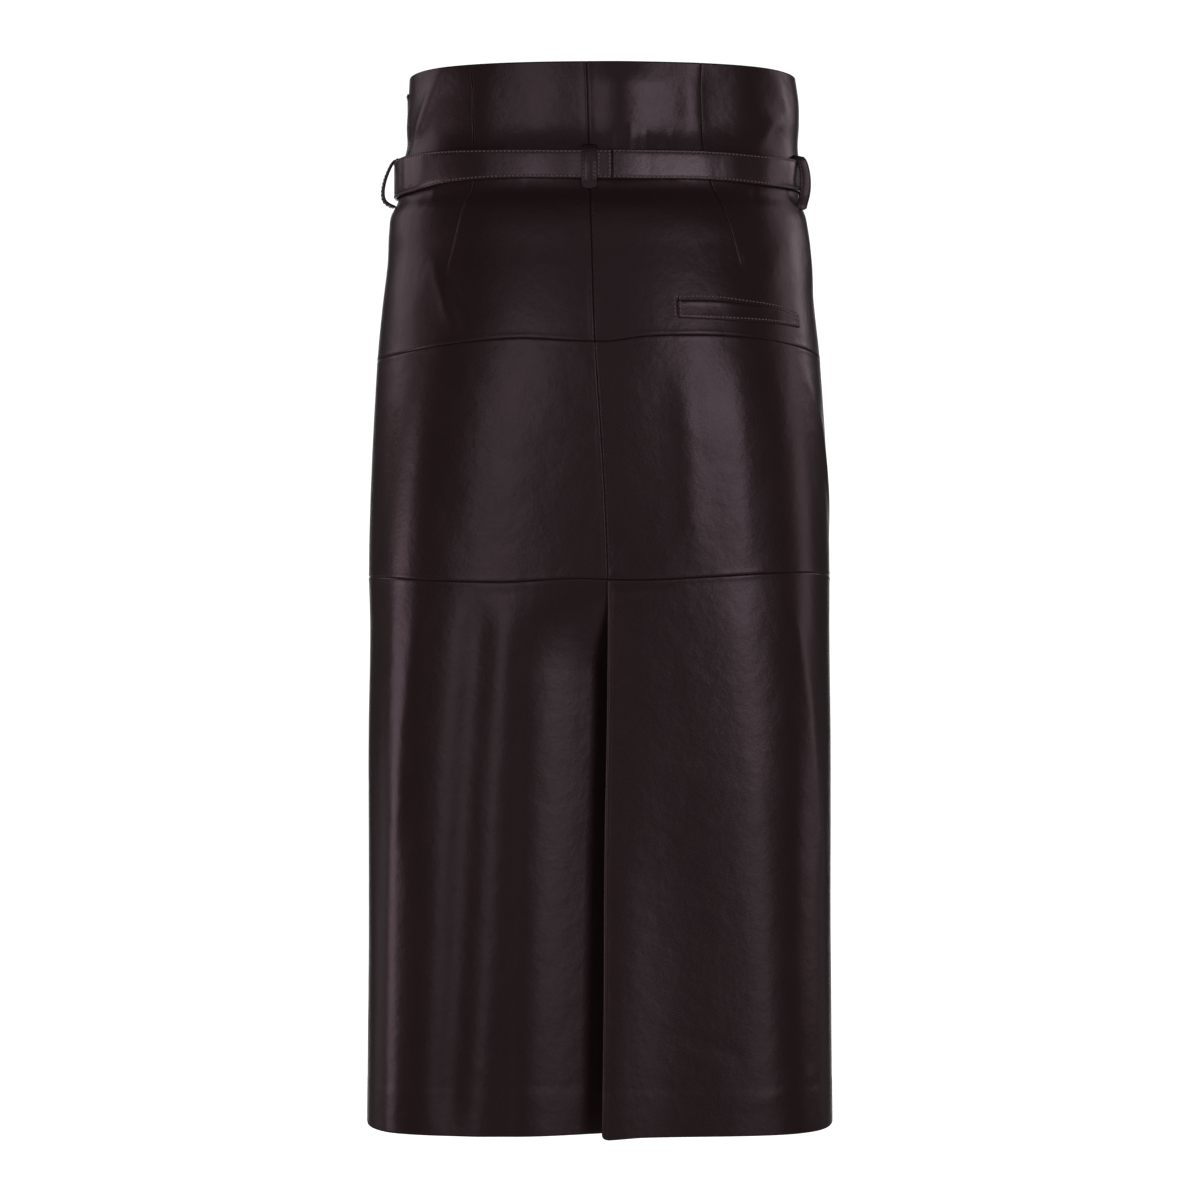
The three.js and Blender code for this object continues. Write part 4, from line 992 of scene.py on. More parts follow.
# %% [markdown]
# Straps. The belt and its loops are doubled leather: a long strip with rounded edges, sewn along both of
# them so that the middle crowns a little. The section is a short table of points, for a plain rounded box
# would miss the dent that the stitches lie in.
# %% The section of a strap
STRAP_HALF_THICK = 1.0
STITCH_INSET = 1.7
STRAP_FACE = [
    (0.0, 0.0), (0.12, 0.45), (0.35, 0.74), (0.7, 0.9), (1.1, 0.96), (1.45, 0.88), (1.7, 0.78), (2.0, 0.9),
    (2.6, 1.04), (4.0, 1.14), (6.5, 1.2),
]
STRAP_BACK = [(0.12, 0.45), (0.4, 0.78), (0.9, 0.95), (1.6, 1.0)]
FACE_REACH = 0.98


def strap_face(half_width, half_thick):
    """The outer face of a strap's section: across it from the lower edge, and out from its middle."""
    inset = np.minimum(np.array([row[0] for row in STRAP_FACE]), half_width * FACE_REACH)
    out = np.array([row[1] for row in STRAP_FACE]) * half_thick
    rising = np.stack([inset - half_width, out], axis=1)
    falling = np.stack([half_width - inset[::-1], out[::-1]], axis=1)
    return np.concatenate([rising, falling])


def ring_section(half_width, half_thick=STRAP_HALF_THICK):
    """A whole strap section: its outer face, then its plain inner face."""
    face = strap_face(half_width, half_thick)
    plain = [(half_width - inset, -out * half_thick) for inset, out in STRAP_BACK]
    plain += [(0.0, -half_thick)]
    plain += [(-a, o) for a, o in plain[-2::-1]]
    return np.concatenate([face, plain])


print("points in a strap's section:", len(ring_section(11.5)))

# %% [markdown]
# Sweeping. At each station of a path the same section is set out, across the strip and out from the wearer,
# and the sections are joined by faces. A curve with a bevel could do it too, but it would twist where the
# path turns back.
# %% Sweeping a strap
def sweep(name, centres, sides, outs, sections, material):
    """A closed strip along a path, from a section at each station."""
    stations, around = sections.shape[:2]
    points = (
        centres[:, None]
        + sides[:, None] * sections[..., :1]
        + outs[:, None] * sections[..., 1:]
    )
    number = np.arange(stations * around).reshape(stations, around)
    after = np.roll(number, -1, axis=1)
    quads = np.stack([number[:-1], number[1:], after[1:], after[:-1]], axis=-1).reshape(-1, 4)
    caps = [number[0].tolist(), number[-1][::-1].tolist()]
    piece = add_mesh(name, points.reshape(-1, 3), quads.tolist() + caps, [material])
    tidy = bmesh.new()
    tidy.from_mesh(piece.data)
    bmesh.ops.recalc_face_normals(tidy, faces=tidy.faces)
    if tidy.calc_volume(signed=True) < 0:
        bmesh.ops.reverse_faces(tidy, faces=tidy.faces)
    tidy.to_mesh(piece.data)
    tidy.free()
    print(name, "stations:", stations, "faces:", len(piece.data.polygons))
    return piece


print("half a strap's thickness, mm:", STRAP_HALF_THICK)

# %% [markdown]
# The belt. It stands upright above the fullness of the hip and runs level round the waist. Its two lengths
# meet beside the loop at centre back, and at centre front the right one goes through the buckle and the left
# one turns back round the buckle's bar. These tables say how high its edges run and how far it stands off.
# %% The belt's measures
BELT_SEAT, BELT_LIFT = -19, 0.8
BELT_JOIN = 3.8
BELT_STATION = 2.0
BUCKLE_HALF_WIDTH = 13.6
HAIRPIN_RADIUS, HAIRPIN_LIFT = 3.2, 4.8
BELT_SEATED = BELT_LIFT + STRAP_HALF_THICK
BELT_EDGES = columns("turn top bottom", [
    (-180, 11.5, -11.5),
    (-120, 12, -13),
    (-90, 13.2, -16),
    (-66, 14.2, -15.2),
    (-50, 14.2, -11.4),
    (-32, 12.9, -9.8),
    (-12, 11.7, -10.5),
    (6, 11.4, -11.4),
    (31, 11.8, -10.7),
    (58, 11.1, -12.4),
    (80, 12.4, -12.2),
    (120, 11.8, -11.8),
    (180, 11.5, -11.5),
])
LEFT_STRAP_END = columns("across lift", [
    (-62, 1.8), (-55, 2.2), (-50, 3.1), (-45, 3.4), (-40, 3.8), (-32, 4.2), (-23, 5.1), (-18, 7.3),
])
RIGHT_STRAP_END = columns("across lift", [
    (-108, 4.1), (-92, 4.1), (-78, 4.1), (-64, 4.1), (-56, 4.7), (-50, 5.6), (-45, 5.9), (-40, 6.3),
    (-32, 6.7), (-24, 8.2), (-18, 10.1), (-13, 10.5), (-7, 10.2), (-2.5, 9), (1.5, 6.4), (5, 3.4),
    (9, 1.8), (14, 1.6), (20, 1.6), (30, 1.6),
])
RETURN_LIFT = 1.6
TAIL_END, TAIL_TAPER, TAIL_TIP = -108.0, 10, 0.12
belt_top = curve_through(BELT_EDGES, "turn", "top")
belt_bottom = curve_through(BELT_EDGES, "turn", "bottom")
left_end_lift = curve_through(LEFT_STRAP_END, "across", "lift")
right_end_lift = curve_through(RIGHT_STRAP_END, "across", "lift")
print("belt width at centre back, mm:", round(float(belt_top(0.0) - belt_bottom(0.0)), 1))

# %% [markdown]
# Wrinkles. Worn leather shows small upright wrinkles where it bends, so the path is not quite even. The
# right length is sewn over the end of the left one, so it starts a little proud and settles down.
# %% The belt's wrinkles and lap
BELT_WRINKLES = columns("turn width depth", [
    (-74, 1.6, -0.35), (-70.5, 1.3, 0.3), (-66, 1.8, -0.3), (-60, 1.4, 0.25), (-48, 3, -0.2),
    (-36, 3.5, 0.3), (-20, 4, 0.25), (-10, 2.4, -0.2), (10, 1.1, 0.06), (14.5, 1.2, -0.07),
    (20, 1.3, 0.08), (27, 1.3, -0.12), (32, 1.8, 0.15), (37, 1.4, -0.15), (43, 2, 0.2), (50, 1.6, -0.2),
    (56, 2.2, 0.2), (66, 2, -0.25), (95, 4, 0.3), (112, 3, -0.3), (130, 4, 0.3), (-140, 4, 0.3),
    (-122, 3, -0.3), (-104, 3, 0.25), (8, 10, 2.0),
])
BELT_LAP, BELT_LAP_TURNS = 2.2, 13


def belt_lap(turn):
    """How far the right length stands proud of its seat."""
    away = np.clip(1 - turn_between(BELT_JOIN, turn) / BELT_LAP_TURNS, 0, 1)
    return BELT_LAP * away**2


def belt_wrinkle(turn):
    total = np.zeros(np.shape(turn))
    for centre, width, depth in zip(*BELT_WRINKLES.values()):
        total += depth * np.exp(-((turn_between(centre, turn) / width) ** 2))
    return total


print("wrinkles in the belt:", len(BELT_WRINKLES["turn"]))

# %% [markdown]
# The path. A strap can't stretch sideways, so it is laid out as a line of stations round the waist with the
# form's own outward direction, level at every station. At centre front a place is given by its distance
# across instead of its turn, because the buckle is flat.
# %% Stations along the belt
FRONT_SPREAD, FRONT_COUNT = 70, 1401


def belt_out(turn):
    around = form_point(turn + NEAR_TURN, BELT_SEAT) - form_point(turn - NEAR_TURN, BELT_SEAT)
    return unit(np.stack([around[..., 1], -around[..., 0], np.zeros(np.shape(turn))], axis=-1))


def belt_point(turn, lift):
    point = form_point(turn, BELT_SEAT) * [1, 1, 0]
    return point + belt_out(turn) * np.asarray(lift)[..., None]


FRONT_TURNS = np.linspace(FRONT - FRONT_SPREAD, FRONT + FRONT_SPREAD, FRONT_COUNT)


def front_turn(across):
    """The turn near centre front whose point lies at a distance across, towards the wearer's right."""
    reach = form_point(FRONT_TURNS, BELT_SEAT)[:, 0]
    return np.interp(across, reach[::-1], FRONT_TURNS[::-1])


def belt_stations(turn, lift):
    """Points, tops and bottoms of the belt's path at some turns."""
    at = wrapped(turn)
    return belt_point(turn, lift), belt_top(at), belt_bottom(at)


def steps(start, end, step=BELT_STATION):
    return np.linspace(start, end, max(2, int(abs(end - start) / step) + 1))


WAIST_DEGREE = 2.5


def ring_turns(start, end):
    return steps(start, end, BELT_STATION / WAIST_DEGREE)


print("station at centre back, mm:", belt_point(np.array(0.0), BELT_SEATED).round(1))

# %% [markdown]
# The two lengths as paths. Each joins a stretch round the waist with its end at the buckle. The left one
# makes a hairpin bend round the buckle's bar, and the right one ends in a rounded tail. Two rounds of
# smoothing ease the joins, as thick leather would.
# %% The belt's paths
HAIRPIN_SWING, HAIRPIN_COUNT = 75, 13
LEFT_RING_END = -66.0
LEFT_LEAVE_FROM, LEFT_LEAVE_TO = -19.0, -62.0
LEFT_RETURN_FROM, LEFT_RETURN_TO = -37.0, -20.0
RIGHT_RING_END, RIGHT_END_FROM = 34.0, 30.0
EASING_ROUNDS = 2

join_left = 360 + BELT_JOIN - HALF_GAP / WAIST_DEGREE
join_right = BELT_JOIN + HALF_GAP / WAIST_DEGREE
left_ring = ring_turns(float(front_turn(LEFT_RING_END)), join_left)
left_away = steps(LEFT_LEAVE_FROM, LEFT_LEAVE_TO)
left_leave = front_turn(left_away)
left_return = front_turn(steps(LEFT_RETURN_FROM, LEFT_RETURN_TO))
right_ring = ring_turns(join_right, float(front_turn(RIGHT_RING_END)))
right_end = steps(RIGHT_END_FROM, TAIL_END)

bar_turn = front_turn(-BUCKLE_HALF_WIDTH)
bar_point = belt_point(bar_turn, HAIRPIN_LIFT)
swing = np.radians(np.linspace(-HAIRPIN_SWING, HAIRPIN_SWING, HAIRPIN_COUNT))
hairpin_points = bar_point + HAIRPIN_RADIUS * np.stack([np.cos(swing), np.sin(swing), 0 * swing], axis=1)
hairpin = (
    hairpin_points,
    np.full(HAIRPIN_COUNT, float(belt_top(FRONT))),
    np.full(HAIRPIN_COUNT, float(belt_bottom(FRONT))),
)


def length_of(points):
    return float(np.linalg.norm(np.diff(points, axis=0), axis=1).sum())


def joined_path(*parts):
    points, tops, bottoms = (np.concatenate(column) for column in zip(*parts))
    for _ in range(EASING_ROUNDS):
        points[1:-1] = (points[:-2] + 2 * points[1:-1] + points[2:]) / 4
    along = unit(np.gradient(points, axis=0))
    outs = np.stack([along[:, 1], -along[:, 0], 0 * along[:, 0]], axis=1)
    return points, tops, bottoms, outs


left_path = joined_path(
    belt_stations(left_return, np.full(left_return.shape, RETURN_LIFT)),
    hairpin,
    belt_stations(left_leave, left_end_lift(left_away)),
    belt_stations(left_ring, BELT_SEATED + belt_wrinkle(left_ring)),
)
tail = np.clip((right_end - TAIL_END) / TAIL_TAPER, 0, 1)
tail_share = TAIL_TIP + (1 - TAIL_TIP) * np.sqrt(1 - (1 - tail) ** 2)
end_points, end_tops, end_bottoms = belt_stations(front_turn(right_end), right_end_lift(right_end))
right_path = joined_path(
    belt_stations(right_ring, BELT_SEATED + belt_wrinkle(right_ring) + belt_lap(right_ring)),
    (end_points, end_tops * tail_share, end_bottoms * tail_share),
)
print("belt lengths, mm:", [round(length_of(path[0])) for path in (left_path, right_path)])

# %% [markdown]
# Punching. The buckle's prong comes out through a slot where the left length turns back, and goes into a
# hole in the right one. Each is cut by a Boolean with a plain block, as a punch would. A hole laid out by
# hand would need its own pattern of faces in the strip.
# %% Punching a slot or a hole
def select_only(*pieces):
    for other in bpy.context.scene.objects:
        other.select_set(False)
    for piece in pieces:
        piece.select_set(True)
    bpy.context.view_layer.objects.active = pieces[0]


def punch(piece, size, place):
    """Cuts a block out of a piece."""
    select_only(piece)
    bpy.ops.mesh.primitive_cube_add(size=1, location=[v * MM for v in place])
    block = bpy.context.active_object
    block.scale = [v * MM for v in size]
    bpy.ops.object.transform_apply(location=True, scale=True)
    cutter = piece.modifiers.new("punch", "BOOLEAN")
    cutter.operation = "DIFFERENCE"
    cutter.object = block
    select_only(piece)
    bpy.ops.object.modifier_apply(modifier=cutter.name)
    bpy.data.objects.remove(block)


print("operators work on:", bpy.context.view_layer.name)

# %% [markdown]
# The two lengths are swept from their paths and punched.
# %% The belt's two lengths
UP = np.array([0.0, 0.0, 1.0])
BELT_BUCKLE_Y = float(bar_point[1])
BELT_FRONT_Y = float(belt_point(np.array(180.0), 0.0)[1])
SLOT_SIZE = (9.0, 14.0, 4.6)
HOLE_SIZE = (7.4, 14.0, 4.0)
HOLE_ACROSS, HOLE_OUT = 1, 6


def belt_length(name, path):
    points, tops, bottoms, outs = path
    centres = points + UP * ((tops + bottoms) / 2)[:, None]
    half = (tops - bottoms) / 2
    sections = np.stack([ring_section(h) for h in half])
    return sweep(name, centres, np.broadcast_to(UP, points.shape), outs, sections, strap_nappa)


belt_left = belt_length("belt_left_strap", left_path)
belt_right = belt_length("belt_right_strap", right_path)
punch(belt_left, SLOT_SIZE, (-BUCKLE_HALF_WIDTH, BELT_BUCKLE_Y, 0))
punch(belt_right, HOLE_SIZE, (HOLE_ACROSS, BELT_FRONT_Y + HOLE_OUT, 0))
for piece, node, path in ((belt_left, "belt_left", left_path), (belt_right, "belt_right", right_path)):
    dress(piece, node)
    run = length_of(path[0])
print("faces after punching:", len(belt_left.data.polygons), len(belt_right.data.polygons))

# %% [markdown]
# The loops hold the belt. Each is a narrow strip folded over it, caught into the skirt above and below.
# The side loops have slack, so they stand off the belt, and the right one leans. A row gives a height and
# how far the strip stands off there, and cutting the corners of that line again and again rounds it.
# %% The path of a belt loop
LOOP_HALF_WIDTH = 5.9
LOOP_REST = 0.3
LOOP_STATION = 0.8
CORNER_SHARE = 0.25
LOOPS = {
    "loop_back": (-3.2, 0.0, 0, [
        (14.4, 0), (13.6, 2.6), (12.4, 5.4), (8, 6.0), (0, 5.6), (-10, 4.6), (-13.5, 3.4), (-16, 1.4),
        (-17.5, 0.2), (-19, 0),
    ]),
    "loop_left": (-90.0, 0.0, 9, [
        (15.6, 0), (14.9, 3), (13.9, 7), (9, 8.6), (2, 10.2), (-6, 11.6), (-12, 12), (-16.5, 10.6), (-19, 7),
        (-20.5, 3), (-21.5, 0.2), (-22.5, 0),
    ]),
    "loop_right": (78.0, 3.0, -27, [
        (14.6, 0), (13.9, 2.6), (12.9, 5.6), (8, 7.8), (0, 9.4), (-8, 9.4), (-15, 7.6), (-20, 4.4),
        (-24, 1.2), (-27, 0),
    ]),
}


def rounded_path(corners, rounds=3):
    """Cuts the corners of a line again and again, which rounds it."""
    line = np.array(corners, float)
    for _ in range(rounds):
        a = line[:-1] * (1 - CORNER_SHARE) + line[1:] * CORNER_SHARE
        b = line[:-1] * CORNER_SHARE + line[1:] * (1 - CORNER_SHARE)
        line = np.concatenate([line[:1], np.stack([a, b], axis=1).reshape(-1, line.shape[1]), line[-1:]])
    return line


def run_along(line):
    """How far along a line each of its points lies."""
    return np.concatenate([[0], np.cumsum(np.linalg.norm(np.diff(line, axis=0), axis=1))])


def picked(at, run, line):
    """What a line's columns hold at some distances along it."""
    return np.stack([np.interp(at, run, line[:, k]) for k in range(line.shape[1])], axis=1)


def evenly(line, step):
    """Points at an even pitch along a line."""
    run = run_along(line)
    return picked(np.linspace(0, run[-1], max(2, int(run[-1] / step) + 1)), run, line)


print("points on a rounded corner:", len(rounded_path([(0, 0), (0, 5), (5, 5)])))

# %% [markdown]
# The strips of the loops. Each is swept along its line with the belt's section, narrowed at both ends so
# that they are round. Its length along the line is the length that the strip is cut to.
# %% The belt loops
LOOP_END_ROUND = 3.0
LOOP_END_TIP = 0.06

loop_paths = {}
for node, (turn, lean, facing, rows) in LOOPS.items():
    origin = belt_point(np.array(turn), 0.0)
    out_way = belt_out(np.array(turn))
    swing = math.radians(facing)
    out_way = out_way * math.cos(swing) + np.cross(UP, out_way) * math.sin(swing)
    ahead = np.cross(UP, out_way)
    height = np.array([row[0] for row in rows], float)
    on_leather = (form_point(turn, height) - origin) @ out_way
    inner = np.stack([on_leather + LOOP_REST + [row[1] for row in rows], height], axis=1)
    line = evenly(rounded_path(inner), LOOP_STATION)
    along = unit(np.gradient(line, axis=0))
    across_out = np.stack([-along[:, 1], along[:, 0]], axis=1)
    middle = line + across_out * STRAP_HALF_THICK
    centres = origin + out_way * middle[:, :1] + UP * middle[:, 1:]
    outs = out_way * across_out[:, :1] + UP * across_out[:, 1:]
    shift = lean * np.linspace(-0.5, 0.5, len(line))[:, None]
    centres = centres + ahead * shift
    sides = np.broadcast_to(ahead, centres.shape)
    run = np.arange(len(line)) * LOOP_STATION
    end = np.clip(np.minimum(run, run[::-1]) / LOOP_END_ROUND + LOOP_END_TIP, 0, 1)
    rounding = np.sqrt(np.clip(1 - (1 - end) ** 2, 0, 1))
    sections = np.stack([ring_section(LOOP_HALF_WIDTH * r) for r in rounding])
    piece = sweep(node + "_strap", centres, sides, outs, sections, strap_nappa)
    dress(piece, node)
    loop_paths[node] = (centres, sides, outs)

# %% [markdown]
# Hardware. The buckle, its prong, the keeper, the zip's slider and its pull have simple solid forms
# already, so each is a copy of its solid with the doubles merged and every hard edge rounded by a bevel.
# Real castings and folded leather have no sharp edge, and the bevel gives each its highlight.
# %% A rounded copy of a solid
MERGE_METRES = 0.00001
FLAT_DEGREES, HARD_DEGREES, SMOOTH_DEGREES = 1, 32, 40


def rounded_copy(node, name, bevel, material, segments=3):
    source = frame["nodes"][node]
    select_only(source)
    bpy.ops.object.duplicate()
    piece = bpy.context.active_object
    piece.name = name
    piece.data.name = name
    for key in [k for k in piece.keys() if k.startswith("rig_")]:
        del piece[key]
    piece.hide_render = False
    bpy.ops.object.mode_set(mode="EDIT")
    bpy.ops.mesh.select_all(action="SELECT")
    bpy.ops.mesh.remove_doubles(threshold=MERGE_METRES)
    bpy.ops.mesh.tris_convert_to_quads()
    bpy.ops.mesh.dissolve_limited(angle_limit=math.radians(FLAT_DEGREES))
    bpy.ops.object.mode_set(mode="OBJECT")
    rounding = piece.modifiers.new("rounding", "BEVEL")
    rounding.width = bevel * MM
    rounding.segments = segments
    rounding.limit_method = "ANGLE"
    rounding.angle_limit = math.radians(HARD_DEGREES)
    bpy.ops.object.modifier_apply(modifier=rounding.name)
    bpy.ops.object.shade_smooth_by_angle(angle=math.radians(SMOOTH_DEGREES))
    piece.data.materials.clear()
    piece.data.materials.append(material)
    print(name, "faces:", len(piece.data.polygons))
    return piece


# %% [markdown]
# The five small pieces. The buckle and the zip are cast metal, with a larger bevel on the larger piece, and
# the keeper is a folded strip of the belt's leather. Only the zip's pull moves, so it alone rides its body.
# %% Buckle, prong, keeper, slider and pull
HARDWARE = (
    ("buckle_frame", "buckle_frame_cast", 0.8, gunmetal, "garment", "dark_metal"),
    ("buckle_prong", "buckle_prong_cast", 0.5, gunmetal, "garment", "dark_metal"),
    ("belt_keeper", "belt_keeper_strap", 0.45, strap_nappa, "garment", "strap_leather"),
    ("zip_slider", "zip_slider_cast", 0.3, gunmetal, "garment", "dark_metal"),
    ("zip_pull", "zip_pull_cast", 0.25, gunmetal, "pull", "dark_metal"),
)
for node, name, bevel, material, body, slot in HARDWARE:
    piece = rounded_copy(node, name, bevel, material)
    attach(piece, body)
    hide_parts(node)

# %% [markdown]
# Thread. A stitch is a short round-ended bar that presses into the leather. One is modelled from a low
# sphere, and then set down at an even pitch along each sewn line, all stitches of a line in one mesh. A
# sewing machine does the same: one stitch, again and again, at a fixed feed.
# %% One stitch
STITCH_PITCH = 3.4
STITCH_LENGTH = 2.35
STITCH_THICK = 1.15


def taken_apart(pattern):
    """The points and faces of a small pattern, which is then removed."""
    points = np.array([v.co for v in pattern.data.vertices])
    faces = [list(p.vertices) for p in pattern.data.polygons]
    bpy.data.objects.remove(pattern)
    return points, faces


select_only(frame["nodes"]["belt_left"])
bpy.ops.mesh.primitive_uv_sphere_add(segments=6, ring_count=5, radius=0.5)
pattern = bpy.context.active_object
pattern.rotation_euler = (0, math.pi / 2, 0)
pattern.scale = (STITCH_THICK, STITCH_THICK, STITCH_LENGTH)
bpy.ops.object.transform_apply(rotation=True, scale=True)
stitch_points, stitch_faces = taken_apart(pattern)
print("faces of one stitch:", len(stitch_faces))

# %% [markdown]
# Rows of stitches. A row walks along its line at the machine's pitch, looks a little ahead and behind for
# the direction there, and sets one stitch down with its top outwards.
# %% Setting stitches along a line
LOOK_AHEAD = 0.5


def set_down(points, faces, places, along, out):
    """Copies of a small shape, each with its length along a line and its top outwards."""
    side = np.cross(out, along)
    copies = (
        places[:, None]
        + along[:, None] * points[None, :, :1]
        + side[:, None] * points[None, :, 1:2]
        + out[:, None] * points[None, :, 2:]
    )
    count = len(points)
    all_faces = [[v + k * count for v in face] for k in range(len(places)) for face in faces]
    return copies.reshape(-1, 3), all_faces


def stitch_row(name, lines, pitch=STITCH_PITCH, material=thread):
    """Stitches along lines, each given as points and outward directions."""
    points, faces, count = [], [], 0
    for line, outs in lines:
        run = run_along(line)
        at = np.arange(pitch / 2, run[-1], pitch)
        along = unit(picked(at + LOOK_AHEAD, run, line) - picked(at - LOOK_AHEAD, run, line))
        out = picked(at, run, outs)
        out = unit(out - along * np.sum(out * along, axis=1, keepdims=True))
        more, their_faces = set_down(stitch_points, stitch_faces, picked(at, run, line), along, out)
        faces += [[v + count for v in face] for face in their_faces]
        points.append(more)
        count += len(more)
    piece = add_mesh(name, np.concatenate(points), faces, [material])
    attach(piece, "garment")
    print(name, "faces:", len(faces))
    return piece


print("stitches on a 100 mm line:", len(np.arange(STITCH_PITCH / 2, 100, STITCH_PITCH)))

# %% [markdown]
# Lines to sew along. On the skirt a line is worked out from the same folds as the panels, so that it lies on
# them. On a strap it runs beside an edge, sunk a little into the dent of the section.
# %% Lines for the stitches
THREAD_LIFT = 0.12
THREAD_SEAT = 0.95


def surface_line(turns, heights, lift=THREAD_LIFT):
    """A line on the skirt's outer face, with its outward directions."""
    turns, heights = np.broadcast_arrays(np.asarray(turns, float), np.asarray(heights, float))
    return place_on(turns, heights, lift), form_normal(turns, heights)


def strap_line(path, inset, upper):
    """A line on a strap's outer face, beside its upper or its lower edge."""
    points, tops, bottoms, outs = path
    height = tops - inset if upper else bottoms + inset
    return points + UP * height[:, None] + outs * STRAP_HALF_THICK * THREAD_SEAT, outs


print("thread above the leather, mm:", THREAD_LIFT)

# %% [markdown]
# Rows on the straps. The belt is sewn along both edges in pale thread, with two short rows across where its
# lengths are joined. The loops are sewn in thread as dark as the leather.
# %% Rows on the belt and the loops
JOIN_ROWS = (2.3, 10.6)
JOIN_DEGREE = 2.55
JOIN_MARGIN, JOIN_COUNT, JOIN_LIFT = 2.2, 12, 1.25
JOIN_PITCH, LOOP_PITCH = 3.0, 3.2
LOOP_STITCH_INSET, LOOP_STITCH_LIFT, LOOP_ENDS = 1.9, 0.95, 5

belt_rows = [
    strap_line(path, STITCH_INSET, upper) for path in (left_path, right_path) for upper in (True, False)
]
stitch_row("belt_stitches", belt_rows)

join_rows = []
for away in JOIN_ROWS:
    turn = BELT_JOIN - away / JOIN_DEGREE
    point, top, bottom = belt_stations(np.array([turn]), BELT_SEATED + belt_wrinkle(np.array([turn])))
    heights = np.linspace(bottom[0] + JOIN_MARGIN, top[0] - JOIN_MARGIN, JOIN_COUNT)
    out_way = belt_out(np.array([turn]))
    line = np.repeat(point, JOIN_COUNT, axis=0) + UP * heights[:, None] + out_way * JOIN_LIFT
    join_rows.append((line, np.repeat(out_way, JOIN_COUNT, axis=0)))
stitch_row("belt_join_stitches", join_rows, JOIN_PITCH)

loop_rows = []
for path in loop_paths.values():
    centres, sides, outs = (column[LOOP_ENDS:-LOOP_ENDS] for column in path)
    for way in (-1, 1):
        across = sides * way * (LOOP_HALF_WIDTH - LOOP_STITCH_INSET)
        loop_rows.append((centres + across + outs * LOOP_STITCH_LIFT, outs))
stitch_row("loop_stitches", loop_rows, LOOP_PITCH, dark_thread)

# %% [markdown]
# The pocket's stitches. Pale thread runs all round the welt: above it on the yoke, below it on the welt
# itself, and twice across at each end, where the slit would tear first.
# %% Rows round the pocket
POCKET_MARGIN = 2.6
POCKET_PITCH = 3.2
ROW_POINTS, END_POINTS = 60, 8
BESIDE_WELT, INSIDE_WELT = 0.6, 0.8
ROW_OVERRUN, ROW_ON_WELT = 0.5, 2.0
END_FROM, END_TO = 1, 1.5
ON_WELT_LIFT = WELT_LIFT + WELT_THICK + 0.1

welt_start, welt_stop = WELT_EDGES["turn"][0], WELT_EDGES["turn"][-1]
pocket_turns = np.linspace(welt_start - ROW_OVERRUN, welt_stop + ROW_OVERRUN, ROW_POINTS)
pocket_above = surface_line(pocket_turns, welt_top(pocket_turns) + POCKET_MARGIN)
welt_turns = np.linspace(welt_start + INSIDE_WELT, welt_stop - INSIDE_WELT, ROW_POINTS)
pocket_below = surface_line(welt_turns, welt_bottom(welt_turns) + ROW_ON_WELT, ON_WELT_LIFT)
pocket_rows = [pocket_above, pocket_below]
for turn, lift in (
    (welt_start - BESIDE_WELT, THREAD_LIFT),
    (welt_start + INSIDE_WELT, ON_WELT_LIFT),
    (welt_stop - INSIDE_WELT, ON_WELT_LIFT),
    (welt_stop + BESIDE_WELT, THREAD_LIFT),
):
    heights = np.linspace(welt_bottom(turn) + END_FROM, welt_top(turn) + END_TO, END_POINTS)
    pocket_rows.append(surface_line(np.full(END_POINTS, turn), heights, lift))
stitch_row("pocket_stitches", pocket_rows, POCKET_PITCH)

# %% [markdown]
# The centre back stitches. They hold the pressed allowance of the seam. Their thread is as dark as the
# leather, so that only a fine dotted line shows, and only where light glances along it.
# %% The row beside centre back
CENTRE_BACK_MARGIN, CENTRE_BACK_LIFT = 1.9, 0.1
CENTRE_ROW_TOP, CENTRE_ROW_CLEAR, CENTRE_ROW_POINTS = -30, 6, 120
edge_heights = np.linspace(CENTRE_ROW_TOP, LOWER_SEAM + CENTRE_ROW_CLEAR, CENTRE_ROW_POINTS)
edge_turns = beside(centre_back, CENTRE_BACK_MARGIN)(edge_heights)
edge_line = surface_line(edge_turns, edge_heights, CENTRE_BACK_LIFT)
stitch_row("centre_back_stitches", [edge_line], STITCH_PITCH, dark_thread)

# %% [markdown]
# The zip's tapes. They are woven, and lie inside the left side seam. Hardly anything of them shows, so the
# CAD solids stay as they are and only take on the material.
# %% Zip tapes
for node in ("zip_tape_back", "zip_tape_front"):
    frame["nodes"][node].data.materials.clear()
    frame["nodes"][node].data.materials.append(tape_cloth)
print("tapes in:", tape_cloth.name)

# %% [markdown]
# The zip's teeth. Between the tapes run two rows of small teeth that mesh, parted for a short way above the
# slider. A tooth is one small block, set down again and again as the stitches are.
# %% Zip teeth
TOOTH_PITCH = 1.25
TOOTH_SIZE = (0.75, 2.4, 0.9)
TEETH_BOTTOM, TEETH_TOP, SLIDER_HEIGHT = -131, 73, 66
TEETH_LIFT = -3.2
TEETH_APART, TEETH_PARTED = 1.0, 0.9
PARTING_BELOW, PARTING_ABOVE = 2, 6

select_only(frame["nodes"]["belt_left"])
bpy.ops.mesh.primitive_cube_add(size=1)
tooth = bpy.context.active_object
tooth.scale = TOOTH_SIZE
bpy.ops.object.transform_apply(scale=True)
tooth_points, tooth_faces = taken_apart(tooth)

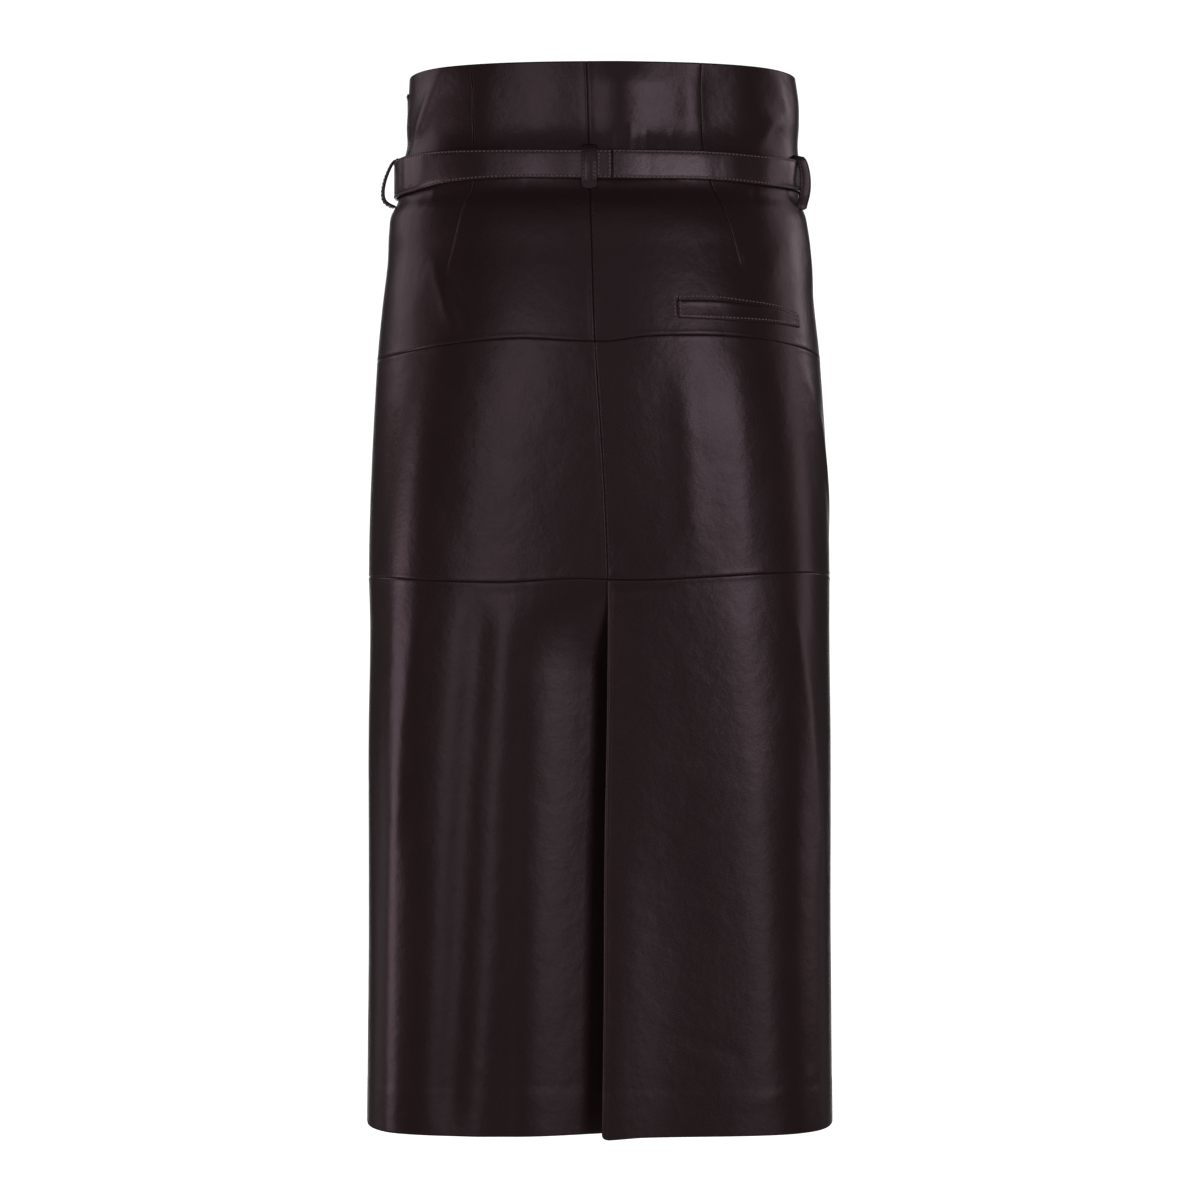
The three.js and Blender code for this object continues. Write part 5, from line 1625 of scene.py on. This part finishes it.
for name, way in (("zip_teeth_back", 1), ("zip_teeth_front", -1)):
    heights = np.arange(TEETH_BOTTOM, TEETH_TOP, TOOTH_PITCH) + (way > 0) * TOOTH_PITCH / 2
    parting = smooth(heights, SLIDER_HEIGHT - PARTING_BELOW, SLIDER_HEIGHT + PARTING_ABOVE)
    opening = TEETH_APART + TEETH_PARTED * parting
    turns = -SIDE + way * opening / mm_per_degree(-SIDE, heights)
    places = form_point(turns, heights) + form_normal(turns, heights) * TEETH_LIFT
    along = unit(form_point(turns, heights + 1) - form_point(turns, heights - 1))
    points, faces = set_down(tooth_points, tooth_faces, places, along, form_normal(turns, heights))
    piece = add_mesh(name, points, faces, [gunmetal])
    piece.data.polygons.foreach_set("use_smooth", [False] * len(piece.data.polygons))
    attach(piece, "garment")
    print(name, "teeth:", len(heights))

# %% [markdown]
# The studio. The skirt hangs filled out before a lit white wall over a plain pale floor. The wall is no
# wider than the picture needs, because dark smooth leather mirrors a wide one as a white rim.
# %% Wall, floor and world
FLOOR_HEIGHT, FLOOR_RADIUS = -1.42, 7
WALL_DISTANCE, WALL_MIDDLE = 3.5, -0.17
WALL_WIDTH, WALL_TALL = 2.2, 2.5
WORLD_COLOUR, WORLD_STRENGTH = (0.9, 0.9, 0.92), 0.035

PAPER = (0.9, 0.9, 0.9)
PAPER_ROUGHNESS, PAPER_SPECULAR = 0.9, 0.1
paper = shader("paper", PAPER, PAPER_ROUGHNESS, specular=PAPER_SPECULAR)[0]
lit_paper, _, lit_base = shader("lit_paper", PAPER, PAPER_ROUGHNESS, specular=PAPER_SPECULAR)
lit_base.inputs["Emission Color"].default_value = (1, 1, 1, 1)
lit_base.inputs["Emission Strength"].default_value = 1.0

select_only(belt_left)
bpy.ops.mesh.primitive_circle_add(vertices=64, radius=FLOOR_RADIUS, fill_type="NGON")
floor = bpy.context.active_object
floor.location = (0, 0, FLOOR_HEIGHT)
floor.name = "floor"
floor.data.materials.append(paper)
bpy.ops.mesh.primitive_plane_add(size=1)
wall = bpy.context.active_object
wall.location = (0, WALL_DISTANCE, WALL_MIDDLE)
wall.rotation_euler = (math.pi / 2, 0, 0)
wall.name = "wall"
wall.scale = (WALL_WIDTH, WALL_TALL, 1)
wall.data.materials.append(lit_paper)

world = bpy.data.worlds.new("studio")
world.use_nodes = True
world.node_tree.nodes["Background"].inputs["Color"].default_value = (*WORLD_COLOUR, 1)
world.node_tree.nodes["Background"].inputs["Strength"].default_value = WORLD_STRENGTH
bpy.context.scene.world = world
print("stage:", floor.name, wall.name)

# %% [markdown]
# The light. Dark leather shows its light as long soft bands, and each band is the mirror of one softbox. So
# each softbox stands where a band says: some in front, some at the sides, and some behind for the rims. A
# box is given by its azimuth, distance and spread round the skirt, its top and bottom, and its brightness.
# Those at the sides and behind are a little warm, for a shallow glance off leather loses its tint.
# %% Softboxes
WARM_FROM, WARM_LIGHT = 60, (1.0, 0.86, 0.9)
SOFTBOXES = (
    ("fill", 0, 3.6, 40, 0.8, -1.3, 0.03),
    ("high", 0, 3.6, 74, 2.7, 0.85, 0.15),
    ("front_left", -20, 2.2, 17, 0.42, -0.45, 1.3),
    ("front_left_low", -20, 2.2, 17, -0.45, -1.05, 0.6),
    ("front_right", 30, 2.2, 19, 0.42, -0.36, 2.6),
    ("front_right_low", 30, 2.2, 18, -0.36, -1.05, 0.8),
    ("side_left", -77, 2.2, 12, 0.3, -0.15, 0.75),
    ("side_left_low", -84, 2.2, 22, -0.15, -0.95, 2.3),
    ("side_right", 96, 2.2, 24, 0.3, -0.75, 0.8),
    ("rear_left", -112, 2.2, 42, 1.4, 0.26, 0.75),
    ("rear_right", 111, 2.2, 38, 1.4, 0.26, 0.7),
    ("edge_left", -112, 2.2, 20, 0.5, 0.18, 2.2),
    ("edge_right", 125, 2.2, 14, 0.5, 0.16, 1.5),
    ("low_left", -118, 2.2, 24, -0.5, -1.0, 0.3),
    ("low_right", 124, 2.2, 24, -0.5, -1.0, 0.12),
)
for name, azimuth, distance, spread, top, bottom, brightness in SOFTBOXES:
    angle = math.radians(azimuth)
    light = bpy.data.lights.new(name, "AREA")
    light.shape = "RECTANGLE"
    light.color = WARM_LIGHT if abs(azimuth) > WARM_FROM else (1, 1, 1)
    light.size = 2 * distance * math.tan(math.radians(spread) / 2)
    light.size_y = top - bottom
    light.energy = brightness * math.pi * light.size * light.size_y
    lamp = bpy.data.objects.new(name, light)
    lamp.location = (distance * math.sin(angle), -distance * math.cos(angle), (top + bottom) / 2)
    lamp.rotation_euler = (math.pi / 2, 0, angle)
    bpy.context.scene.collection.objects.link(lamp)
    print(name, "watts:", round(light.energy, 2))

# %% [markdown]
# The camera. It looks straight at the back from three metres away with a long lens, level with the middle
# of the picture. A photographer keeps the lens level, so that the sides of the skirt don't lean.
# %% Camera
CAMERA_DISTANCE, CAMERA_HEIGHT = 3.0, -0.336
LENS, SENSOR = 112.5, 36
SIGHT = 50

camera = bpy.data.cameras.new("camera")
camera.lens = LENS
camera.sensor_width = SENSOR
camera.clip_end = SIGHT
viewer = bpy.data.objects.new("camera", camera)
viewer.location = (0, -CAMERA_DISTANCE, CAMERA_HEIGHT)
viewer.rotation_euler = (math.pi / 2, 0, 0)
bpy.context.scene.collection.objects.link(viewer)
bpy.context.scene.camera = viewer
bpy.context.scene.view_settings.view_transform = "Standard"
print("camera at:", tuple(viewer.location))
